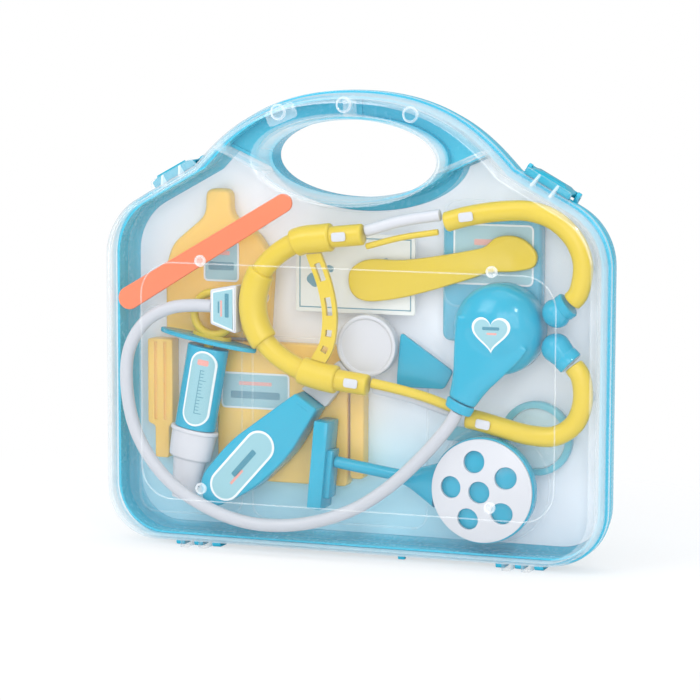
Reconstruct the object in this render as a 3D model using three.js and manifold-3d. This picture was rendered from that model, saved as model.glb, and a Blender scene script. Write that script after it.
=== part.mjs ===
import * as THREE from "three";
import Module from "manifold-3d";
import { mergeVertices } from "three/addons/utils/BufferGeometryUtils.js";

const wasm = await Module();
wasm.setup();

// A toy doctor case, upright on its hinges. Millimetres, +Z up, clear lid towards -Y, seam at Y 0.
// Places on the case are shares of its half width and height; those of the toys are shares of the set's.

// Case outline
const halfWidth = 134;
const caseHeight = 238;
const bottomCornerRadius = 29;
const topCornerRadius = 36;
const topCornerHeightShare = 0.63;
const shoulderAngle = THREE.MathUtils.degToRad(29);
const shoulderLength = 36;
const handleTopShare = 0.994;
const handleControlShares = [[0.522, 0.899], [0.373, 0.994]];
const cornerSteps = 5;
const handleSteps = 8;

// The set of toys is laid out for a case of this size, and closes up in a smaller one
const setHalfWidth = 134;
const setHeight = 238;
const setFit = Math.min(1, halfWidth / setHalfWidth, caseHeight / setHeight);

// Shells
const lidDepth = 21;
const baseDepth = 19;
const lidWall = 1.5;
const baseWall = 1.6;
const seamGap = 0.3;
const weldDistance = 1e-4;
const clearance = 0.3;
const overrun = 1;
const rimWidth = 4;
const rimStep = 1.2;
const wallDraft = 0.8;
const edgeRound = 5;
const gripHalfWidth = 46.5;
const gripHalfHeight = 19.4;
const gripHeightShare = 0.849;
const gripFlare = 5;
const gripSteps = 30;

// Front panel line, round bosses and handle ribs of the lid
const panelShares = [0.828, 0.103, 0.62];
const panelCorner = 17;
const panelLine = 1.2;
const panelRise = 0.5;
const bossRadius = 3;
const bossRise = 0.7;
const bossShares = [[-0.581, 0.626], [0.581, 0.626], [-0.581, 0.13], [0.581, 0.13]];
const gripBossShares = [[-0.262, 0.948], [0, 0.966], [0.262, 0.948]];
const ribThickness = 1.6;
const ribShares = [[0.33, 0.825], [0.6, 0.89]];

// Hinges
const knuckleRadius = 1.5;
const knuckleGap = 0.4;
const knuckleCount = 5;
const knuckleWidth = 4.6;
const knuckleSideGap = 0.5;
const hingeCentreShare = 0.655;
const hingePinRadius = 0.6;
const hingePinPlay = 0.3;
const webDepth = 8;
const hingeDrop = 2 * knuckleRadius + knuckleGap;

// Small stop under the base
const stopShare = 0.181;
const stopWidth = 3.6;
const stopDepth = 3;

// Latches on the shoulders, in their own frame: X along the shoulder, Z out of it
const latchHalfLength = 13;
const latchThickness = 2;
const latchRise = 2.6;
const latchFront = 1.9;
const latchPivotBack = 9;
const latchBarrelRadius = 1.8;
const latchPinRadius = 0.8;
const latchPinPlay = 0.3;
const latchBlockDepth = 3.2;
const latchLip = 0.7;
const lugThickness = 2.2;
const lugReach = 2.2;
const keeperThickness = 1.8;
const keeperRise = 4.2;
const keeperTaper = 2.5;
const gussetDepth = 8;
const gussetThickness = 1.4;
const gussetPlaceShare = 0.42;

// Inner sheets
const trayFront = 6.2;
const trayThickness = 0.8;
const sheetMargin = 3.7;
const cardMargin = 6.3;
const cardThickness = 0.5;
const sheetTopShares = [[0.33, 0.815], [0.66, 0.895]];
const sheetGripMargin = 8.5;
const postRadius = 3.5;

// Depth layers
const restPlane = trayFront - clearance;
const rearFront = trayFront + trayThickness + clearance;
const cardBack = baseDepth - baseWall - clearance;
const rearBack = cardBack - cardThickness - clearance;
const labelThickness = 0.3;
const labelLift = 0.1;
const looseFront = -10.9;

// Tongue depressor
const depressorHalfWidths = [6, 4.8];
const depressorThickness = 2;
const depressorBack = -9;
const depressorShares = [[-0.914, 0.534], [-0.272, 0.752]];
const depressorPostShares = [[-0.784, 0.578], [-0.41, 0.704]];

// Stethoscope headset
const yokeDepth = -8;
const yokeRadius = 5.5;
const yokeCollarRadius = 7.3;
const yokeCollarShares = [[0.105, 0.235], [0.38, 0.62], [0.77, 0.895]];
const yokeShares = [
  [0.045, 0.69], [-0.121, 0.679], [-0.21, 0.671], [-0.308, 0.639], [-0.374, 0.595], [-0.403, 0.54],
  [-0.39, 0.486], [-0.341, 0.442], [-0.243, 0.403], [-0.128, 0.382], [0.067, 0.367],
];
const strapWidth = 7.7;
const strapThickness = 2.6;
const strapSlotWidth = 3.4;
const strapSlotShares = [[0.18, 0.31], [0.43, 0.56], [0.66, 0.71], [0.78, 0.83]];
const strapShares = [
  [-0.175, 0.676], [-0.149, 0.638], [-0.109, 0.579], [-0.088, 0.515],
  [-0.1, 0.45], [-0.128, 0.42], [-0.159, 0.388],
];
const linkDepth = -7;
const rodRadius = 3;
const upperRodShares = [[0.052, 0.697], [0.188, 0.72], [0.347, 0.736]];
const lowerRodDepth = -1;
const lowerRodShares = [[0.0715, 0.358], [0.222, 0.342], [0.38, 0.316]];
const stripRadius = 1.6;
const lowerStripRadius = 2.6;
const upperStripShares = [[0.054, 0.664], [0.189, 0.685], [0.34, 0.7]];
const lowerStripShares = [[0.078, 0.372], [0.189, 0.361], [0.299, 0.347], [0.43, 0.323]];
const armDepth = -6;
const armRadius = 5.1;
const upperArmShares = [
  [0.366, 0.721], [0.452, 0.735], [0.576, 0.747], [0.692, 0.749], [0.787, 0.732], [0.864, 0.692],
  [0.896, 0.647], [0.893, 0.605], [0.878, 0.578], [0.855, 0.563],
];
const lowerArmShares = [
  [0.455, 0.307], [0.507, 0.302], [0.59, 0.291], [0.707, 0.278], [0.801, 0.28], [0.873, 0.308],
  [0.903, 0.355], [0.893, 0.408], [0.865, 0.43],
];
const upperTipShares = [[0.845, 0.558], [0.757, 0.52]];
const lowerTipShares = [[0.857, 0.4335], [0.775, 0.486]];
const tipGap = 2.1;
const tipRootRadius = 6.8;
const tipBulbRadius = 7.6;
const tipRootShare = 0.3;
const tabLength = 7.5;
const tabWidth = 4.6;
const tabThickness = 0.8;
const yokeTabShares = [[-0.039, 0.685], [0.011, 0.373]];
const armTabShares = [[0.457, 0.735], [0.53, 0.299]];
const yokeTabSlope = 0.1;
const armTabSlope = 0.15;
const armPostShares = [[0.894, 0.63], [0.903, 0.36]];
const yokePostShare = [-0.403, 0.54];

// Tube connector behind the yoke
const connectorFront = -12.6;
const connectorBack = -4.8;
const connectorShares = [[-0.566, 0.561], [-0.46, 0.572], [-0.46, 0.467], [-0.566, 0.486]];
const connectorLabelInset = 1;

// Stethoscope tube, routed by hand: X, Y, Z in the case
const tubeRadius = 3.35;
const tubeSteps = 40;
const tubeSides = 10;
const tubeRoute = [
  [58.4, -14.4, 77.2], [55.2, -14.6, 71.4], [49.2, -14.8, 63.6], [36.6, -14.8, 49.7], [20.7, -14.8, 35.4],
  [1.8, -14.8, 23.3], [-25.4, -14.8, 14.6], [-53, -14.8, 13.4], [-78.1, -14.8, 20.4], [-100.6, -14.8, 34.6],
  [-116, -14.8, 55.8], [-122, -14.8, 80], [-120.6, -14.6, 101], [-111.8, -13.6, 115.5], [-98.5, -12, 123],
  [-86, -9.6, 124.6], [-80, -9, 124.6], [-76.2, -9, 124.6],
];

// Chestpiece
const chestRadius = 23.2;
const chestSide = 10;
const chestSides = 24;
const chestSteps = 5;
const chestFront = -18.7;
const chestShare = [0.572, 0.498];
const chestNeckShare = [0.454, 0.347];
const chestEndShare = [0.438, 0.327];
const neckHalfWidthShares = [0.9, 0.72, 0.47, 0.32];
const neckHalfDepth = 4.6;
const neckHalfDepthShares = [0.3, 0.55, 0.9, 1];
const neckDepth = -14.3;
const collarHalfWidth = 7.6;
const collarHalfDepth = 4.8;
const collarEndShare = 0.92;
const heartSize = 20;
const heartCurve = [13, -5, -2, -1];
const heartLift = 1.8;

// Spatula
const spatulaThickness = 3.3;
const spatulaBevel = 0.8;
const spatulaShares = [
  [-0.04, 0.605], [-0.036, 0.563], [0.009, 0.544], [0.142, 0.549], [0.44, 0.598], [0.515, 0.613],
  [0.62, 0.618], [0.69, 0.63], [0.7, 0.655], [0.66, 0.682], [0.606, 0.693], [0.54, 0.688],
  [0.496, 0.668], [0.446, 0.66], [0.181, 0.634], [0.02, 0.63],
];

// Otoscope: handle, neck and round mirror
const otoscopeShares = [
  [-0.136, 0.311], [-0.255, 0.2], [-0.4, 0.125], [-0.54, 0.085], [-0.599, 0.08], [-0.622, 0.145],
  [-0.493, 0.231], [-0.222, 0.343],
];
const otoscopeBevel = 4.5;
const otoscopeLabelShares = [[-0.51, 0.134], [-0.37, 0.222]];
const otoscopeLabelHalfWidth = 8.5;
const neckFront = yokeDepth + yokeCollarRadius + clearance;
const neckRootHalfWidth = 8;
const neckTipHalfWidth = 4.6;
const discShare = [0.037, 0.447];
const discRadius = 16;
const discFront = -0.8;
const discRim = 1.8;
const discStep = 1;

// Syringe, in its own frame: Z along the barrel from its lower end
const syringeShare = [-0.664, 0.25];
const syringeTilt = THREE.MathUtils.degToRad(10.1);
const barrelLength = 46;
const barrelRadius = 11.2;
const barrelHalfDepth = 7.9;
const barrelBore = 2.8;
const borePlay = 0.35;
const flangeHalfLength = 27;
const flangeThickness = 2;
const flangeOffset = 0.6;
const syringeLabelHalfWidth = 7.2;
const syringeLabelOffset = 1.6;
const syringeLabelShares = [0.05, 0.92];
const plungerRise = 0.9;
const plungerRodShare = 0.8;
const thumbHalfLength = 10.8;
const thumbHalfDepth = 5;
const thumbOffset = 2.7;
const thumbThickness = 3.4;
const ringRadius = 11;
const ringThickness = 2.2;
const sleeveRimRadius = 13.2;
const sleeveRimHeight = 2.2;
const sleeveRadius = 12.2;
const sleeveStepDown = 16;
const sleeveTubeRadius = 9.3;
const sleeveTipRadius = 6.6;
const sleeveLength = 38.5;
const sleeveDepthShare = 0.6;
const sleeveSkirtShare = 0.97;

// Hammer and drum
const hammerHeadShares = [[-0.117, 0.284], [-0.147, 0.092]];
const hammerHeadWidth = 7.8;
const hammerCollarShares = [0.13, 0.68];
const hammerCollarWidth = 2.8;
const hammerCollarDepth = 11;
const shaftDepth = -3;
const shaftRadius = 3.1;
const shaftRootShare = 0.545;
const shaftEndShare = [0.17, 0.174];
const flareEndShare = 0.335;
const flareHalfHeight = 12;
const flareHalfDepth = 7;
const flareRootShare = 0.1;
const flareMiddleShare = 0.4;
const flareMiddleSizeShares = [0.45, 0.6];
const drumShare = [0.531, 0.158];
const drumRadius = 27;
const drumFloor = -11.6;
const drumSide = 6;
const drumBackRadius = 19;
const coverRadius = 26.2;
const coverThickness = 1.4;
const coverDome = 4.6;
const coverSteps = 4;
const coverHoleRadius = 5.6;
const coverHoleReach = 15.4;
const coverHoleCount = 5;
const coverHoleTurn = THREE.MathUtils.degToRad(102);

// Rear layer
const bottleShares = [
  [-0.82, 0.447], [-0.39, 0.447], [-0.37, 0.62], [-0.43, 0.675], [-0.545, 0.715], [-0.545, 0.773],
  [-0.65, 0.773], [-0.65, 0.715], [-0.79, 0.65], [-0.82, 0.6],
];
const bottleBevel = 2.4;
const bottleLabelShares = [[-0.655, 0.57], [-0.507, 0.66]];
const bookShares = [[-0.6, 0.132], [-0.06, 0.439]];
const bookBevel = 1.2;
const bookLabelShares = [[-0.582, 0.292], [-0.297, 0.372]];
const barShares = [[-0.05, 0.15], [0.007, 0.345]];
const dropperShares = [
  [-0.864, 0.172], [-0.806, 0.172], [-0.806, 0.243], [-0.79, 0.25], [-0.79, 0.437], [-0.895, 0.437],
  [-0.895, 0.25], [-0.864, 0.243],
];
const dropperGroove = 1.6;
const dropperGrooveShares = [-0.862, -0.822];
const pictureShares = [[-0.271, 0.513], [0.213, 0.685]];
const pictureThickness = 1.2;
const deviceShares = [[0.321, 0.462], [0.709, 0.731]];
const deviceBevel = 2.2;
const deviceLabelShares = [[0.365, 0.585], [0.68, 0.715]];
const deviceLabelCorner = 3;
const wedgeShares = [[0.166, 0.478], [0.375, 0.399], [0.34, 0.36], [0.152, 0.36], [0.152, 0.385]];
const wedgeThickness = 2.6;
const lensShare = [0.694, 0.262];
const lensRadius = 19;
const lensFrame = 3.4;
const lensDepth = 5;
const lensThickness = 1.4;
const lensHandleLength = 30;
const lensHandleWidth = 7;

const colours = {
  clear: 0xdfeef5,
  base: 0x2fb4e2,
  latch: 0x14b4d2,
  card: 0xc3cddf,
  orange: 0xfa966e,
  yellow: 0xf0d848,
  tan: 0xe6c878,
  white: 0xe8e8ee,
  tool: 0x46bce2,
  label: 0xc9e3ea,
  picture: 0xd9dcd6,
  teal: 0x5fb4c4,
};

function at([xShare, zShare]) {
  return [xShare * halfWidth, zShare * caseHeight];
}

function inSet([xShare, zShare]) {
  return [xShare * setHalfWidth, zShare * setHeight];
}

function atDepth(shares, depth) {
  return shares.map((share) => {
    const [x, z] = inSet(share);
    return new THREE.Vector3(x, depth, z);
  });
}

function tidy(geometry) {
  const bare = new THREE.BufferGeometry();
  bare.setAttribute("position", geometry.getAttribute("position"));
  if (geometry.index) bare.setIndex(geometry.index);
  const merged = mergeVertices(bare, weldDistance);
  const kept = [];
  const corners = merged.index.array;
  for (let i = 0; i < corners.length; i += 3) {
    const [a, b, c] = [corners[i], corners[i + 1], corners[i + 2]];
    if (a !== b && b !== c && c !== a) kept.push(a, b, c);
  }
  merged.setIndex(kept);
  return merged;
}

function solid(geometry) {
  const merged = tidy(geometry);
  return new wasm.Manifold(new wasm.Mesh({
    numProp: 3,
    vertProperties: new Float32Array(merged.getAttribute("position").array),
    triVerts: new Uint32Array(merged.index.array),
  }));
}

function geometryOf(body) {
  const mesh = body.getMesh();
  const geometry = new THREE.BufferGeometry();
  geometry.setAttribute("position", new THREE.BufferAttribute(new Float32Array(mesh.vertProperties), 3));
  geometry.setIndex(Array.from(mesh.triVerts));
  return geometry;
}

function joined(bodies) {
  return bodies.reduce((whole, body) => whole.add(body));
}

function add(name, geometry, colour, parent, look = {}) {
  const material = new THREE.MeshStandardMaterial({
    color: colour,
    roughness: 0.35,
    metalness: 0,
    ...look,
  });
  const tidied = tidy(geometry);
  tidied.computeVertexNormals();
  const mesh = new THREE.Mesh(tidied, material);
  mesh.name = name;
  parent.add(mesh);
  return mesh;
}

function block(low, high) {
  const geometry = new THREE.BoxGeometry(high[0] - low[0], high[1] - low[1], high[2] - low[2]);
  geometry.translate((low[0] + high[0]) / 2, (low[1] + high[1]) / 2, (low[2] + high[2]) / 2);
  return geometry;
}

function rodAlongX(radius, left, right, y, z, sides = 16) {
  const geometry = new THREE.CylinderGeometry(radius, radius, right - left, sides);
  geometry.rotateZ(Math.PI / 2);
  geometry.translate((left + right) / 2, y, z);
  return geometry;
}

function rodAlongY(radius, front, back, x, z, sides = 20) {
  const geometry = new THREE.CylinderGeometry(radius, radius, back - front, sides);
  geometry.translate(x, (front + back) / 2, z);
  return geometry;
}

// A flat piece with its outline in X and Z, from front to back
function plate(points, front, back, bevel = 0) {
  const shape = new THREE.Shape(points.map(([x, z]) => new THREE.Vector2(x, z)));
  const geometry = new THREE.ExtrudeGeometry(shape, {
    depth: back - front - 2 * bevel,
    bevelEnabled: bevel > 0,
    bevelThickness: bevel,
    bevelSize: bevel,
    bevelOffset: -bevel,
    bevelSegments: 2,
  });
  geometry.rotateX(Math.PI / 2);
  geometry.translate(0, back - bevel, 0);
  return geometry;
}

function roundedBox(low, high, corner, steps = 3) {
  const centres = [[high[0], low[1]], [high[0], high[1]], [low[0], high[1]], [low[0], low[1]]];
  const inward = [[-1, 1], [-1, -1], [1, -1], [1, 1]];
  const points = [];
  centres.forEach(([x, z], quarter) => {
    for (let i = 0; i <= steps; i += 1) {
      const angle = (quarter - 1 + i / steps) * (Math.PI / 2);
      points.push([
        x + inward[quarter][0] * corner + corner * Math.cos(angle),
        z + inward[quarter][1] * corner + corner * Math.sin(angle),
      ]);
    }
  });
  return points;
}

function pill(start, end, startHalf, endHalf = startHalf, steps = 8) {
  const heading = Math.atan2(end[1] - start[1], end[0] - start[0]);
  const points = [];
  [[end, -1, endHalf], [start, 1, startHalf]].forEach(([centre, side, half]) => {
    for (let i = 0; i <= steps; i += 1) {
      const angle = heading + side * (Math.PI / 2) + (i / steps) * Math.PI;
      points.push([centre[0] + half * Math.cos(angle), centre[1] + half * Math.sin(angle)]);
    }
  });
  return points;
}

function circlePoints(radius, sides) {
  return Array.from({ length: sides }, (_, i) => {
    const angle = (i / sides) * 2 * Math.PI;
    return new THREE.Vector2(radius * Math.cos(angle), radius * Math.sin(angle));
  });
}

function sweep(points, radius, steps, sides = 14) {
  const path = new THREE.CatmullRomCurve3(points, false, "centripetal");
  return new THREE.ExtrudeGeometry(new THREE.Shape(circlePoints(radius, sides)), {
    steps,
    bevelEnabled: false,
    extrudePath: path,
  });
}

// A skin over rings of points; flat is the same ring drawn flat, for the two end caps
function loft(rings, flat) {
  const count = flat.length;
  const positions = rings.flat().flatMap((point) => [point.x, point.y, point.z]);
  const corners = [];
  for (let level = 0; level + 1 < rings.length; level += 1) {
    for (let i = 0; i < count; i += 1) {
      const a = level * count + i;
      const b = level * count + ((i + 1) % count);
      corners.push(a, b, b + count, a, b + count, a + count);
    }
  }
  const last = (rings.length - 1) * count;
  THREE.ShapeUtils.triangulateShape(flat, []).forEach(([a, b, c]) => {
    const turned = THREE.ShapeUtils.area([flat[a], flat[b], flat[c]]) < 0;
    const [p, q, r] = turned ? [a, c, b] : [a, b, c];
    corners.push(p, r, q, last + p, last + q, last + r);
  });
  const geometry = new THREE.BufferGeometry();
  geometry.setAttribute("position", new THREE.Float32BufferAttribute(positions, 3));
  geometry.setIndex(corners);
  return outward(geometry);
}

function outward(geometry) {
  const place = geometry.getAttribute("position");
  const corners = geometry.index.array;
  const [a, b, c] = [new THREE.Vector3(), new THREE.Vector3(), new THREE.Vector3()];
  let volume = 0;
  for (let i = 0; i < corners.length; i += 3) {
    a.fromBufferAttribute(place, corners[i]);
    b.fromBufferAttribute(place, corners[i + 1]);
    c.fromBufferAttribute(place, corners[i + 2]);
    volume += a.dot(b.cross(c));
  }
  if (volume < 0) geometry.setIndex(Array.from(corners).reverse());
  return geometry;
}

// Half of the case's outline, from its bottom corner to the middle of the handle
function halfOutline() {
  const points = [];
  for (let i = 0; i <= cornerSteps; i += 1) {
    const angle = (i / cornerSteps - 1) * (Math.PI / 2);
    points.push([
      halfWidth - bottomCornerRadius + bottomCornerRadius * Math.cos(angle),
      bottomCornerRadius + bottomCornerRadius * Math.sin(angle),
    ]);
  }
  const topCentre = [halfWidth - topCornerRadius, topCornerHeightShare * caseHeight];
  for (let i = 0; i <= cornerSteps; i += 1) {
    const angle = (i / cornerSteps) * (Math.PI / 2 - shoulderAngle);
    points.push([
      topCentre[0] + topCornerRadius * Math.cos(angle),
      topCentre[1] + topCornerRadius * Math.sin(angle),
    ]);
  }
  const shoulderStart = points[points.length - 1];
  const shoulderEnd = [
    shoulderStart[0] - shoulderLength * Math.cos(shoulderAngle),
    shoulderStart[1] + shoulderLength * Math.sin(shoulderAngle),
  ];
  const handle = new THREE.CubicBezierCurve(
    new THREE.Vector2(...shoulderEnd),
    new THREE.Vector2(...at(handleControlShares[0])),
    new THREE.Vector2(...at(handleControlShares[1])),
    new THREE.Vector2(0, handleTopShare * caseHeight),
  );
  handle.getPoints(handleSteps).forEach((point) => points.push([point.x, point.y]));
  return { points, shoulderStart, shoulderEnd };
}

const half = halfOutline();

function outline(inset) {
  const mirrored = half.points.slice(0, -1).reverse().map(([x, z]) => [-x, z]);
  const whole = [...half.points, ...mirrored].map(([x, z]) => new THREE.Vector2(x, z));
  return whole.map((point, i) => {
    const before = point.clone().sub(whole[(i + whole.length - 1) % whole.length]).normalize();
    const after = whole[(i + 1) % whole.length].clone().sub(point).normalize();
    const normal = new THREE.Vector2(-before.y - after.y, before.x + after.x);
    return point.clone().addScaledVector(normal, inset / (1 + before.dot(after)));
  });
}

// Levels are pairs of depth and inset
function caseLoft(levels) {
  const ringAt = ([y, inset]) => outline(inset).map((point) => new THREE.Vector3(point.x, y, point.y));
  return solid(loft(levels.map(ringAt), outline(0)));
}

// Levels are pairs of depth and the amount that the finger hole grows
function gripLoft(levels) {
  const centre = gripHeightShare * caseHeight;
  const unit = circlePoints(1, gripSteps);
  const rings = levels.map(([y, growth]) => unit.map((point) => new THREE.Vector3(
    point.x * (gripHalfWidth + growth),
    y,
    centre + point.y * (gripHalfHeight + growth),
  )));
  return solid(loft(rings, unit));
}

function innerLoft(side, depth, wall) {
  const drafted = rimStep + wallDraft;
  return caseLoft([
    [-side * overrun, rimStep + wall],
    [side * (depth - edgeRound + overrun), drafted + wall],
    [side * (depth - wall - edgeRound / 12), drafted + wall + edgeRound / 4],
    [side * (depth - wall), drafted + wall + edgeRound / 2],
  ]);
}

function gripSleeve(side, depth, growth) {
  return gripLoft([
    [-side * 2 * overrun, growth],
    [side * (depth - edgeRound), growth + overrun],
    [side * depth, growth + gripFlare],
    [side * (depth + overrun), growth + gripFlare],
  ]);
}

function shellBody(side, depth, wall) {
  const drafted = rimStep + wallDraft;
  const outer = caseLoft([
    [side * (seamGap / 2), 0],
    [side * rimWidth, 0],
    [side * rimWidth, rimStep],
    [side * (depth - edgeRound + overrun), drafted],
    [side * (depth - edgeRound / 4), drafted + edgeRound / 4],
    [side * depth, drafted + edgeRound],
  ]);
  const hollow = innerLoft(side, depth, wall).subtract(gripSleeve(side, depth, wall));
  return outer.subtract(hollow).subtract(gripSleeve(side, depth, 0));
}

function slantedRib(sideways, front, back) {
  const [low, high] = ribShares.map(at);
  const length = Math.hypot(high[0] - low[0], high[1] - low[1]);
  const geometry = new THREE.BoxGeometry(length, back - front, ribThickness);
  geometry.rotateY(-sideways * Math.atan2(high[1] - low[1], high[0] - low[0]));
  geometry.translate(sideways * (low[0] + high[0]) / 2, (front + back) / 2, (low[1] + high[1]) / 2);
  return solid(geometry);
}

// Ribs across the hollow handle, trimmed inside the walls that they join
function handleRibs(side, depth, wall) {
  const [front, back] = [side * rimWidth, side * depth].sort((a, b) => a - b);
  const middle = block(
    [-ribThickness / 2, front, gripHeightShare * caseHeight],
    [ribThickness / 2, back, caseHeight],
  );
  const ribs = joined([solid(middle), slantedRib(1, front, back), slantedRib(-1, front, back)]);
  return ribs.intersect(innerLoft(side, depth, wall / 2)).subtract(gripSleeve(side, depth, wall / 2));
}

function panelLineRing() {
  const right = panelShares[0] * halfWidth;
  const [bottom, top] = [panelShares[1] * caseHeight, panelShares[2] * caseHeight];
  const front = -lidDepth - panelRise;
  const back = -lidDepth + lidWall / 2;
  const outer = plate(roundedBox([-right, bottom], [right, top], panelCorner), front, back);
  const inner = plate(
    roundedBox(
      [panelLine - right, bottom + panelLine],
      [right - panelLine, top - panelLine],
      panelCorner - panelLine,
    ),
    front - overrun,
    back + overrun,
  );
  return solid(outer).subtract(solid(inner));
}

function lidBosses() {
  return [...bossShares, ...gripBossShares].map((share) => {
    const [x, z] = at(share);
    return solid(rodAlongY(bossRadius, -lidDepth - bossRise, -lidDepth + lidWall / 2, x, z, 14));
  });
}

const knucklePitch = knuckleWidth + knuckleSideGap;
const hingeAxisHeight = knuckleRadius - hingeDrop;
const hingeCentres = [-hingeCentreShare * halfWidth, hingeCentreShare * halfWidth];

function knuckle(centre, index, side) {
  const middle = centre + (index - (knuckleCount - 1) / 2) * knucklePitch;
  const [left, right] = [middle - knuckleWidth / 2, middle + knuckleWidth / 2];
  const reach = [side * seamGap, side * webDepth].sort((a, b) => a - b);
  const web = block([left, reach[0], -hingeDrop], [right, reach[1], baseWall / 2]);
  const barrel = rodAlongX(knuckleRadius, left, right, 0, hingeAxisHeight);
  return solid(web).add(solid(barrel));
}

function withHinges(body, side, own) {
  const span = (knuckleCount * knucklePitch) / 2;
  return hingeCentres.reduce((whole, centre) => {
    const indices = [...Array(knuckleCount).keys()].filter((index) => index % 2 === own);
    const knuckles = joined(indices.map((index) => knuckle(centre, index, side)));
    const [left, right] = [centre - span, centre + span];
    if (own === 0) {
      const pin = rodAlongX(hingePinRadius, left + overrun, right - overrun, 0, hingeAxisHeight, 12);
      return whole.add(knuckles).add(solid(pin));
    }
    const bore = rodAlongX(hingePinRadius + hingePinPlay, left, right, 0, hingeAxisHeight, 12);
    return whole.add(knuckles.subtract(solid(bore)));
  }, body);
}

const latchPivotHeight = latchRise - latchThickness / 4;

// Moves a piece drawn in the latch's frame to the right or left shoulder
function onShoulder(geometry, sideways) {
  const middle = [
    (half.shoulderStart[0] + half.shoulderEnd[0]) / 2,
    (half.shoulderStart[1] + half.shoulderEnd[1]) / 2,
  ];
  geometry.rotateY(sideways * shoulderAngle);
  geometry.translate(sideways * middle[0], 0, middle[1]);
  return geometry;
}

function latchLugs(sideways) {
  return [-1, 1].map((end) => {
    const inner = latchHalfLength + clearance;
    const [left, right] = [end * inner, end * (inner + lugThickness)].sort((a, b) => a - b);
    const foot = block(
      [left, latchPivotBack - lugReach, -rimStep - baseWall / 2],
      [right, latchPivotBack + lugReach, latchPivotHeight],
    );
    const eye = rodAlongX(lugReach, left, right, latchPivotBack, latchPivotHeight);
    const bore = rodAlongX(
      latchPinRadius + latchPinPlay,
      left - overrun,
      right + overrun,
      latchPivotBack,
      latchPivotHeight,
      12,
    );
    const lug = solid(foot).add(solid(eye)).subtract(solid(bore));
    return solid(onShoulder(geometryOf(lug), sideways));
  });
}

function latch(sideways) {
  const top = latchRise + latchThickness;
  const shape = new THREE.Shape([
    [-latchFront, clearance],
    [latchBlockDepth - latchFront, clearance], [latchBlockDepth - latchFront, latchRise],
    [latchPivotBack, latchRise], [latchPivotBack, top - latchThickness / 4],
    [latchBlockDepth - latchFront, top], [latchLip - latchFront, top], [latchLip - latchFront, top + latchLip],
    [-latchFront, top + latchLip],
  ].map(([y, w]) => new THREE.Vector2(y, w)));
  const body = new THREE.ExtrudeGeometry(shape, { depth: 2 * latchHalfLength, bevelEnabled: false });
  body.applyMatrix4(new THREE.Matrix4().makeBasis(
    new THREE.Vector3(0, 1, 0),
    new THREE.Vector3(0, 0, 1),
    new THREE.Vector3(1, 0, 0),
  ));
  body.translate(-latchHalfLength, 0, 0);
  const reach = latchHalfLength;
  const barrel = rodAlongX(latchBarrelRadius, -reach, reach, latchPivotBack, latchPivotHeight);
  const pinEnd = latchHalfLength + clearance + lugThickness;
  const pin = rodAlongX(latchPinRadius, -pinEnd, pinEnd, latchPivotBack, latchPivotHeight, 12);
  const whole = solid(body).add(solid(barrel)).add(solid(pin));
  return onShoulder(geometryOf(whole), sideways);
}

// Clear keeper in front of the latch: a tapered plate with two gussets
function latchKeeper(sideways) {
  const back = -latchFront - clearance;
  const foot = -rimStep - lidWall / 2;
  const wide = latchHalfLength + lugThickness;
  const face = plate(
    [[-wide, foot], [wide, foot], [wide - keeperTaper, keeperRise], [keeperTaper - wide, keeperRise]],
    back - keeperThickness,
    back,
  );
  const gussets = [-1, 1].map((end) => {
    const middle = end * gussetPlaceShare * latchHalfLength;
    const shape = new THREE.Shape([
      [back - keeperThickness / 2, foot], [back - gussetDepth, foot], [back - keeperThickness / 2, keeperRise],
    ].map(([y, w]) => new THREE.Vector2(y, w)));
    const gusset = new THREE.ExtrudeGeometry(shape, { depth: gussetThickness, bevelEnabled: false });
    gusset.applyMatrix4(new THREE.Matrix4().makeBasis(
      new THREE.Vector3(0, 1, 0),
      new THREE.Vector3(0, 0, 1),
      new THREE.Vector3(1, 0, 0),
    ));
    gusset.translate(middle - gussetThickness / 2, 0, 0);
    return solid(gusset);
  });
  const keeper = joined([solid(face), ...gussets]);
  return solid(onShoulder(geometryOf(keeper), sideways));
}

function clearLid() {
  const keepers = [latchKeeper(1), latchKeeper(-1)];
  const extras = [handleRibs(-1, lidDepth, lidWall), panelLineRing(), ...lidBosses(), ...keepers];
  const body = extras.reduce((whole, extra) => whole.add(extra), shellBody(-1, lidDepth, lidWall));
  return geometryOf(withHinges(body, -1, 1));
}

function baseShell() {
  const middle = stopShare * halfWidth;
  const stop = solid(block(
    [middle - stopWidth / 2, seamGap, -hingeDrop + clearance],
    [middle + stopWidth / 2, stopDepth, baseWall / 2],
  ));
  const extras = [stop, handleRibs(1, baseDepth, baseWall), ...latchLugs(1), ...latchLugs(-1)];
  const body = extras.reduce((whole, extra) => whole.add(extra), shellBody(1, baseDepth, baseWall));
  return geometryOf(withHinges(body, 1, 0));
}

function flatSheet(front, back, margin) {
  const sheet = solid(plate(outline(margin).map((point) => [point.x, point.y]), front, back));
  const [low, high] = sheetTopShares.map(at);
  const above = [[high[0], caseHeight + overrun], [-high[0], caseHeight + overrun]];
  const top = plate(
    [[-high[0], high[1]], [-low[0], low[1]], low, high, ...above],
    front - overrun,
    back + overrun,
  );
  const grip = gripLoft([[front - overrun, sheetGripMargin], [back + overrun, sheetGripMargin]]);
  return sheet.subtract(solid(top)).subtract(grip);
}

function trayPosts() {
  const posts = [
    ...depressorPostShares.map((share) => [share, depressorBack]),
    ...armPostShares.map((share) => [share, armDepth + armRadius]),
    [yokePostShare, yokeDepth + yokeCollarRadius],
  ];
  return posts.map(([share, seat]) => {
    const [x, z] = inSet(share).map((length) => length * setFit);
    return solid(rodAlongY(postRadius, seat + clearance, trayFront + trayThickness / 2, x, z, 12));
  });
}

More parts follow.
